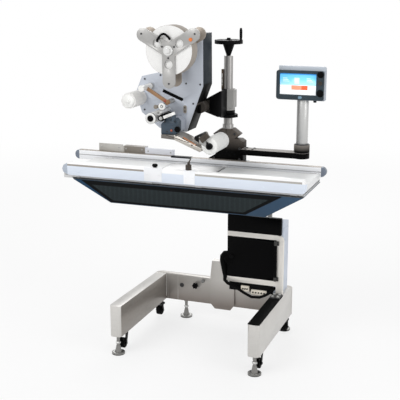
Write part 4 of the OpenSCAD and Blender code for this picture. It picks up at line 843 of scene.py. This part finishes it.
# Feet and casters: lock nuts, axle nuts, brake pedals and treads. A wheel's third number is the side of its
# pedal, towards -Y or +Y
FEET = {"front_left": (-230, -291), "front_right": (465, -291),
        "rear_left": (-94, 284), "rear_right": (452, 284)}
WHEELS = {"front_left": (-230, -237, -1), "front_right": (465, -237, -1),
          "rear_left": (-230, 238.67, 1), "rear_right": (465, 238.67, 1)}
AXLE_Z = 35
PEDAL_Z = 61.5
for corner in CORNERS:
    foot, fork, wheel = "foot_" + corner, "fork_" + corner, "wheel_" + corner
    x, y = FEET[corner]
    nuts = Piece().nut((x, y, 54), UP, 13, 9).ring((x, y, 9), UP, 27, 20, 1.6)
    nuts.done(f"foot_nut_{corner}", steel, foot, foot, 0.4)
    x, y, way = WHEELS[corner]
    hubs = Piece().nut((x - 19, y, AXLE_Z), LEFT, 6.5, 4).nut((x + 19, y, AXLE_Z), RIGHT, 6.5, 4)
    hubs.done(f"caster_nuts_{corner}", dark_steel, fork, fork, 0.3)
    pedal = Piece()
    for inner, top in ((3, 65), (28, 71)):
        near, far = sorted((y + way * inner, y + way * 32))
        pedal.box((x - 16, near, PEDAL_Z), (x + 16, far, top))
    pedal.done(f"caster_pedal_{corner}", black_plastic, fork, fork, 0.8)
    tread = Piece().ring((x - 10, y, AXLE_Z), RIGHT, 25.3, 24, 20, 48)
    tread.ring((x - 14.4, y, AXLE_Z), RIGHT, 15, 11, 28.8, 32)
    tread.done(f"caster_tread_{corner}", black_plastic, wheel, wheel, 0.3)

# Belts and rails: belt joints, roller nuts, screws, and the label sensor on the right hook
for k, x in enumerate((-321, 470)):
    Piece().plan([(x, -209.5), (x + 2.5, -209.5), (x + 8.5, 119.5), (x + 6, 119.5)], 879.9, 880.25).done(
        f"belt_joint_{k}", belt_white, "base", "conveyor_belts", 0)
for name, x in (("infeed_nose", -525.3), ("infeed_drive", -114.7),
                ("outfeed_drive", 189.7), ("outfeed_nose", 640.3)):
    caps = Piece().nut((x, -215.3, 865.3), FRONT, 7, 3.4).nut((x, 125.3, 865.3), BACK, 8, 5)
    caps.done(f"{name}_nuts", steel, f"{name}_roller", f"{name}_roller", 0.3)
deck_places = [(x, y, 880) for x in (-86, 160) for y in (-196, -45, 106)]
Piece().screws(deck_places, UP, 4.5, 1.0).done("deck_screws", steel, "base", "belt_frame", 0)
rail_places = [(x, -247.3, 884) for x in (-440, -230, 60, 270, 480, 610)]
Piece().screws(rail_places, FRONT, 4.0, 1.6).done("rail_screws", rail_alu, "base", "front_rail", 0)
# A black strip on the rear rail stands in for the shadow in the gap between belts and rail: painted shadow
Piece().box((-128, 159.4, 899), (-20, 188, 906)).done("rail_gap_shadow", black_plastic, "base", "rear_rail", 0.4)
back_places = [(x, 188, 881) for x in (-590, -170, 20, 300, 460, 610)]
Piece().screws(back_places, BACK, 5.0, 3.0).done("rear_rail_screws", steel, "base", "rear_rail", 0)
guide_places = [(-530, 188, 925), (-430, 188, 925), (-390, 188, 922), (-300, 188, 922),
                (-265, 188, 918), (-140, 188, 918)]
Piece().screws(guide_places, FRONT, 4.0, 1.4).done("guide_screws", steel, "base", "rear_guides", 0)
hook_places = [(x, -250.3, 900) for x in (-84, -22, 110, 144)]
Piece().screws(hook_places, FRONT, 3.6, 1.8).done("hook_screws", white_paint, "base", "sensor_bracket", 0)
SENSOR_Y = -233.3
sensor = Piece().ring((118, SENSOR_Y, 933.4), UP, 14, 11.1, 19, 32)
sensor.disc((118, SENSOR_Y, 952.4), UP, 14, 5, 1.4).disc((119, SENSOR_Y, 957), UP, 6, 12, 1)
sensor.tube([(119, SENSOR_Y, 968), (124, SENSOR_Y, 976), (129, SENSOR_Y, 985)], 3.2, 12)
sensor.done("label_sensor", brown_plastic, "base", "sensor_bracket", 1.0)
Piece().disc((118, -247, 943), FRONT, 4.4, 1.6, 0.5).done(
    "sensor_lens", dark_steel, "base", "sensor_bracket", 0.2)

# Mast: bolts, clamp slit, scale strip and wheel nut
bolts = at_y([(92, 908), (228, 908), (142, 962), (228, 962), (112, 1034), (202, 1034)], 190)
Piece().screws(bolts, FRONT, 6.5, 4.0).done("mast_bolts", dark_steel, "base", "mast_foot", 0)
Piece().box((156, 189.4, 1012), (158, 190.4, 1056)).done("clamp_slit", rubber, "base", "mast_foot", 0.1)
strip = Piece().box((125, 206, 1250), (134, 224, 1350))
strip.screws([(129.5, 206, z) for z in (1262, 1338)], FRONT, 3, 1.6)
strip.done("slide_strip", bronze_plastic, "slide", "mast_slide", 0.8)
Piece().box((126.5, 205.2, 1270), (132.5, 206.1, 1330)).done(
    "slide_scale", scale_print, "slide", "mast_slide", 0.1)
hub = Piece().disc((157, 220, 1492), UP, 17, 3, 1).nut((157, 220, 1495), UP, 10, 7)
hub.done("wheel_nut", black_plastic, "handwheel", "handwheel", 0.4)

# Display: arm bolts, post collar, button rings, key switch, lamp and rear fittings
arm_bolts = [(x, y, 966) for x in (262, 300) for y in (172, 208)]
Piece().screws(arm_bolts, UP, 5.5, 3.6).done("arm_bolts", dark_steel, "base", "display_arm", 0)
Piece().ring((543, 190, 1005), UP, 35, 28.3, 4, 48).done(
    "socket_collar", dark_steel, "base", "display_arm", 0.5)
Piece().disc((543, 225, 985), BACK, 4, 6, 1).screw((543, 231, 985), BACK, 8, 7).done(
    "socket_screw", black_plastic, "base", "display_arm", 0)
BUTTON_X, BEZEL_Y = 633, 149
for name, z, outer, inner in (("start", 1347, 15.2, 13.2), ("stop", 1259, 16.8, 15.2)):
    Piece().ring((BUTTON_X, BEZEL_Y, z), FRONT, outer, inner, 1.8, 48).done(
        f"{name}_ring", black_plastic, "display", "display_bezel", 0.3)
key = Piece().ring((BUTTON_X, BEZEL_Y, 1307), FRONT, 9.5, 6, 3, 40)
key.disc((BUTTON_X, BEZEL_Y, 1307), FRONT, 6.2, 1.6, 0.4).box((632, 145, 1302.5), (634, 148, 1311.5))
key.done("key_switch", brown_plastic, "display", "display_bezel", 0.3)
Piece().prism(rounded(527, 546, 1230, 1243, 6), 148, 149.4).done(
    "status_lamp", lamp_blue, "display", "display_bezel", 0.3)
vents = Piece()
for k in range(8):
    vents.prism(rounded(480, 606, 1312 + 6 * k, 1314.6 + 6 * k, 1.2, 3), 204.6, 206)
vents.done("case_vents", black_plastic, "display", "display_case", 0.1)
Piece().screws([(x, 205, z) for x in (440, 638) for z in (1234, 1348)], BACK, 4, 2).done(
    "case_screws", dark_steel, "display", "display_case", 0)
Piece().disc((600, 192, 1222), DOWN, 9, 4, 1).nut((600, 192, 1218), DOWN, 8, 8).done(
    "case_gland", black_plastic, "display", "display_case", 0.4)


# Studio: a white floor and backdrop, broad soft lamps, and the camera that the photograph was taken with
PAPER_WHITE = (1.0, 1.0, 1.0, 1.0)
WORLD_LIGHT = 0.55
FLOOR_DROP = 0.0005
FLOOR_HALF = 30.0
FLOOR_TONES = ((0.93, 0.93, 0.93), (0.96, 0.96, 0.96))
# Share of plain white in the floor's look close to the machine; it grows to all white between two distances
FLOOR_WHITE = 0.72
WHITE_FROM, WHITE_TO = 1.0, 6.0
# Each lamp's place, target, width and height in metres, and watts
LAMPS = {
    "key": ((-1.8, -3.2, 3.4), (0, 0, 0.7), (2.4, 1.8), 71),
    "side": ((3.4, -1.2, 2.2), (0.1, 0, 0.7), (1.6, 2.2), 34),
    "rear": ((-0.6, 3.2, 2.6), (0, 0, 0.8), (2.6, 1.6), 38),
}
CAMERA_AT = (1.557, -3.999, 1.811)
CAMERA_TILT, CAMERA_TURN = math.radians(75.802), math.radians(20.163)
CAMERA_LENS, CAMERA_SENSOR = 81.02, 36.0


def in_sight(tree):
    """1 on rays from the camera, a mirror or a clear thing, and 0 on rays that only bring light."""
    rays = tree.nodes.new("ShaderNodeLightPath").outputs
    seen = rays["Is Camera Ray"]
    for kind in ("Is Transmission Ray", "Is Glossy Ray"):
        either = tree.nodes.new("ShaderNodeMath")
        either.operation = "MAXIMUM"
        tree.links.new(seen, either.inputs[0])
        tree.links.new(rays[kind], either.inputs[1])
        seen = either.outputs[0]
    return seen


def backdrop(scene):
    """A world that lights softly and is seen as plain white."""
    world = bpy.data.worlds.new("studio")
    scene.world = world
    world.use_nodes = True
    tree = world.node_tree
    soft = tree.nodes["Background"]
    white = tree.nodes.new("ShaderNodeBackground")
    for node, strength in ((soft, WORLD_LIGHT), (white, 1.0)):
        node.inputs["Color"].default_value = PAPER_WHITE
        node.inputs["Strength"].default_value = strength
    mixed = tree.nodes.new("ShaderNodeMixShader")
    tree.links.new(in_sight(tree), mixed.inputs["Fac"])
    tree.links.new(soft.outputs[0], mixed.inputs[1])
    tree.links.new(white.outputs[0], mixed.inputs[2])
    tree.links.new(mixed.outputs[0], tree.nodes["World Output"].inputs["Surface"])


def floor_finish():
    """Pale floor that keeps the object's shadow and turns to plain white far away."""
    pale = Finish("floor_pale")
    low, high = FLOOR_TONES
    pale.surface(pale.ramp(pale.noise(0.8, 2), [(0, low), (1, high)]), 0.8)
    pale.set("Specular IOR Level", 0.1)
    away = pale.add("ShaderNodeVectorMath", operation="LENGTH")
    pale.link(pale.place, away.inputs[0])
    far = pale.add("ShaderNodeMapRange", interpolation_type="SMOOTHSTEP", i_From_Min=WHITE_FROM,
                   i_From_Max=WHITE_TO, i_To_Min=FLOOR_WHITE, i_To_Max=1.0)
    pale.link(away.outputs["Value"], far.inputs["Value"])
    glow = pale.add("ShaderNodeEmission", i_Strength=1.0)
    mixed = pale.add("ShaderNodeMixShader")
    pale.link(pale.math("MULTIPLY", in_sight(pale.tree), far.outputs["Result"]), mixed.inputs["Fac"])
    pale.link(pale.shader.outputs[0], mixed.inputs[1])
    pale.link(glow.outputs[0], mixed.inputs[2])
    pale.link(mixed.outputs[0], pale.tree.nodes["Material Output"].inputs["Surface"])
    return pale.material


def lay_floor(scene):
    """A wide flat floor just under the feet."""
    bm = bmesh.new()
    bmesh.ops.create_grid(bm, x_segments=1, y_segments=1, size=FLOOR_HALF)
    mesh = bpy.data.meshes.new("floor")
    bm.to_mesh(mesh)
    bm.free()
    mesh.materials.append(floor_finish())
    floor = bpy.data.objects.new("floor", mesh)
    floor.location.z = -FLOOR_DROP
    scene.collection.objects.link(floor)


def lamp(scene, name, at, target, size, watts):
    """A broad rectangular lamp aimed at a target."""
    data = bpy.data.lights.new(name, "AREA")
    data.shape = "RECTANGLE"
    data.size, data.size_y = size
    data.energy = watts
    light = bpy.data.objects.new(name, data)
    light.location = at
    aim = Vector(target) - Vector(at)
    light.rotation_euler = aim.to_track_quat("-Z", "Y").to_euler()
    scene.collection.objects.link(light)


def shoot(scene):
    """The camera fitted to the photograph."""
    data = bpy.data.cameras.new("camera")
    data.sensor_width = CAMERA_SENSOR
    data.lens = CAMERA_LENS
    camera = bpy.data.objects.new("camera", data)
    camera.location = CAMERA_AT
    camera.rotation_euler = (CAMERA_TILT, 0.0, CAMERA_TURN)
    scene.collection.objects.link(camera)
    scene.camera = camera


studio = bpy.context.scene
studio.view_settings.view_transform = "Standard"
backdrop(studio)
lay_floor(studio)
for name, settings in LAMPS.items():
    lamp(studio, name, *settings)
shoot(studio)
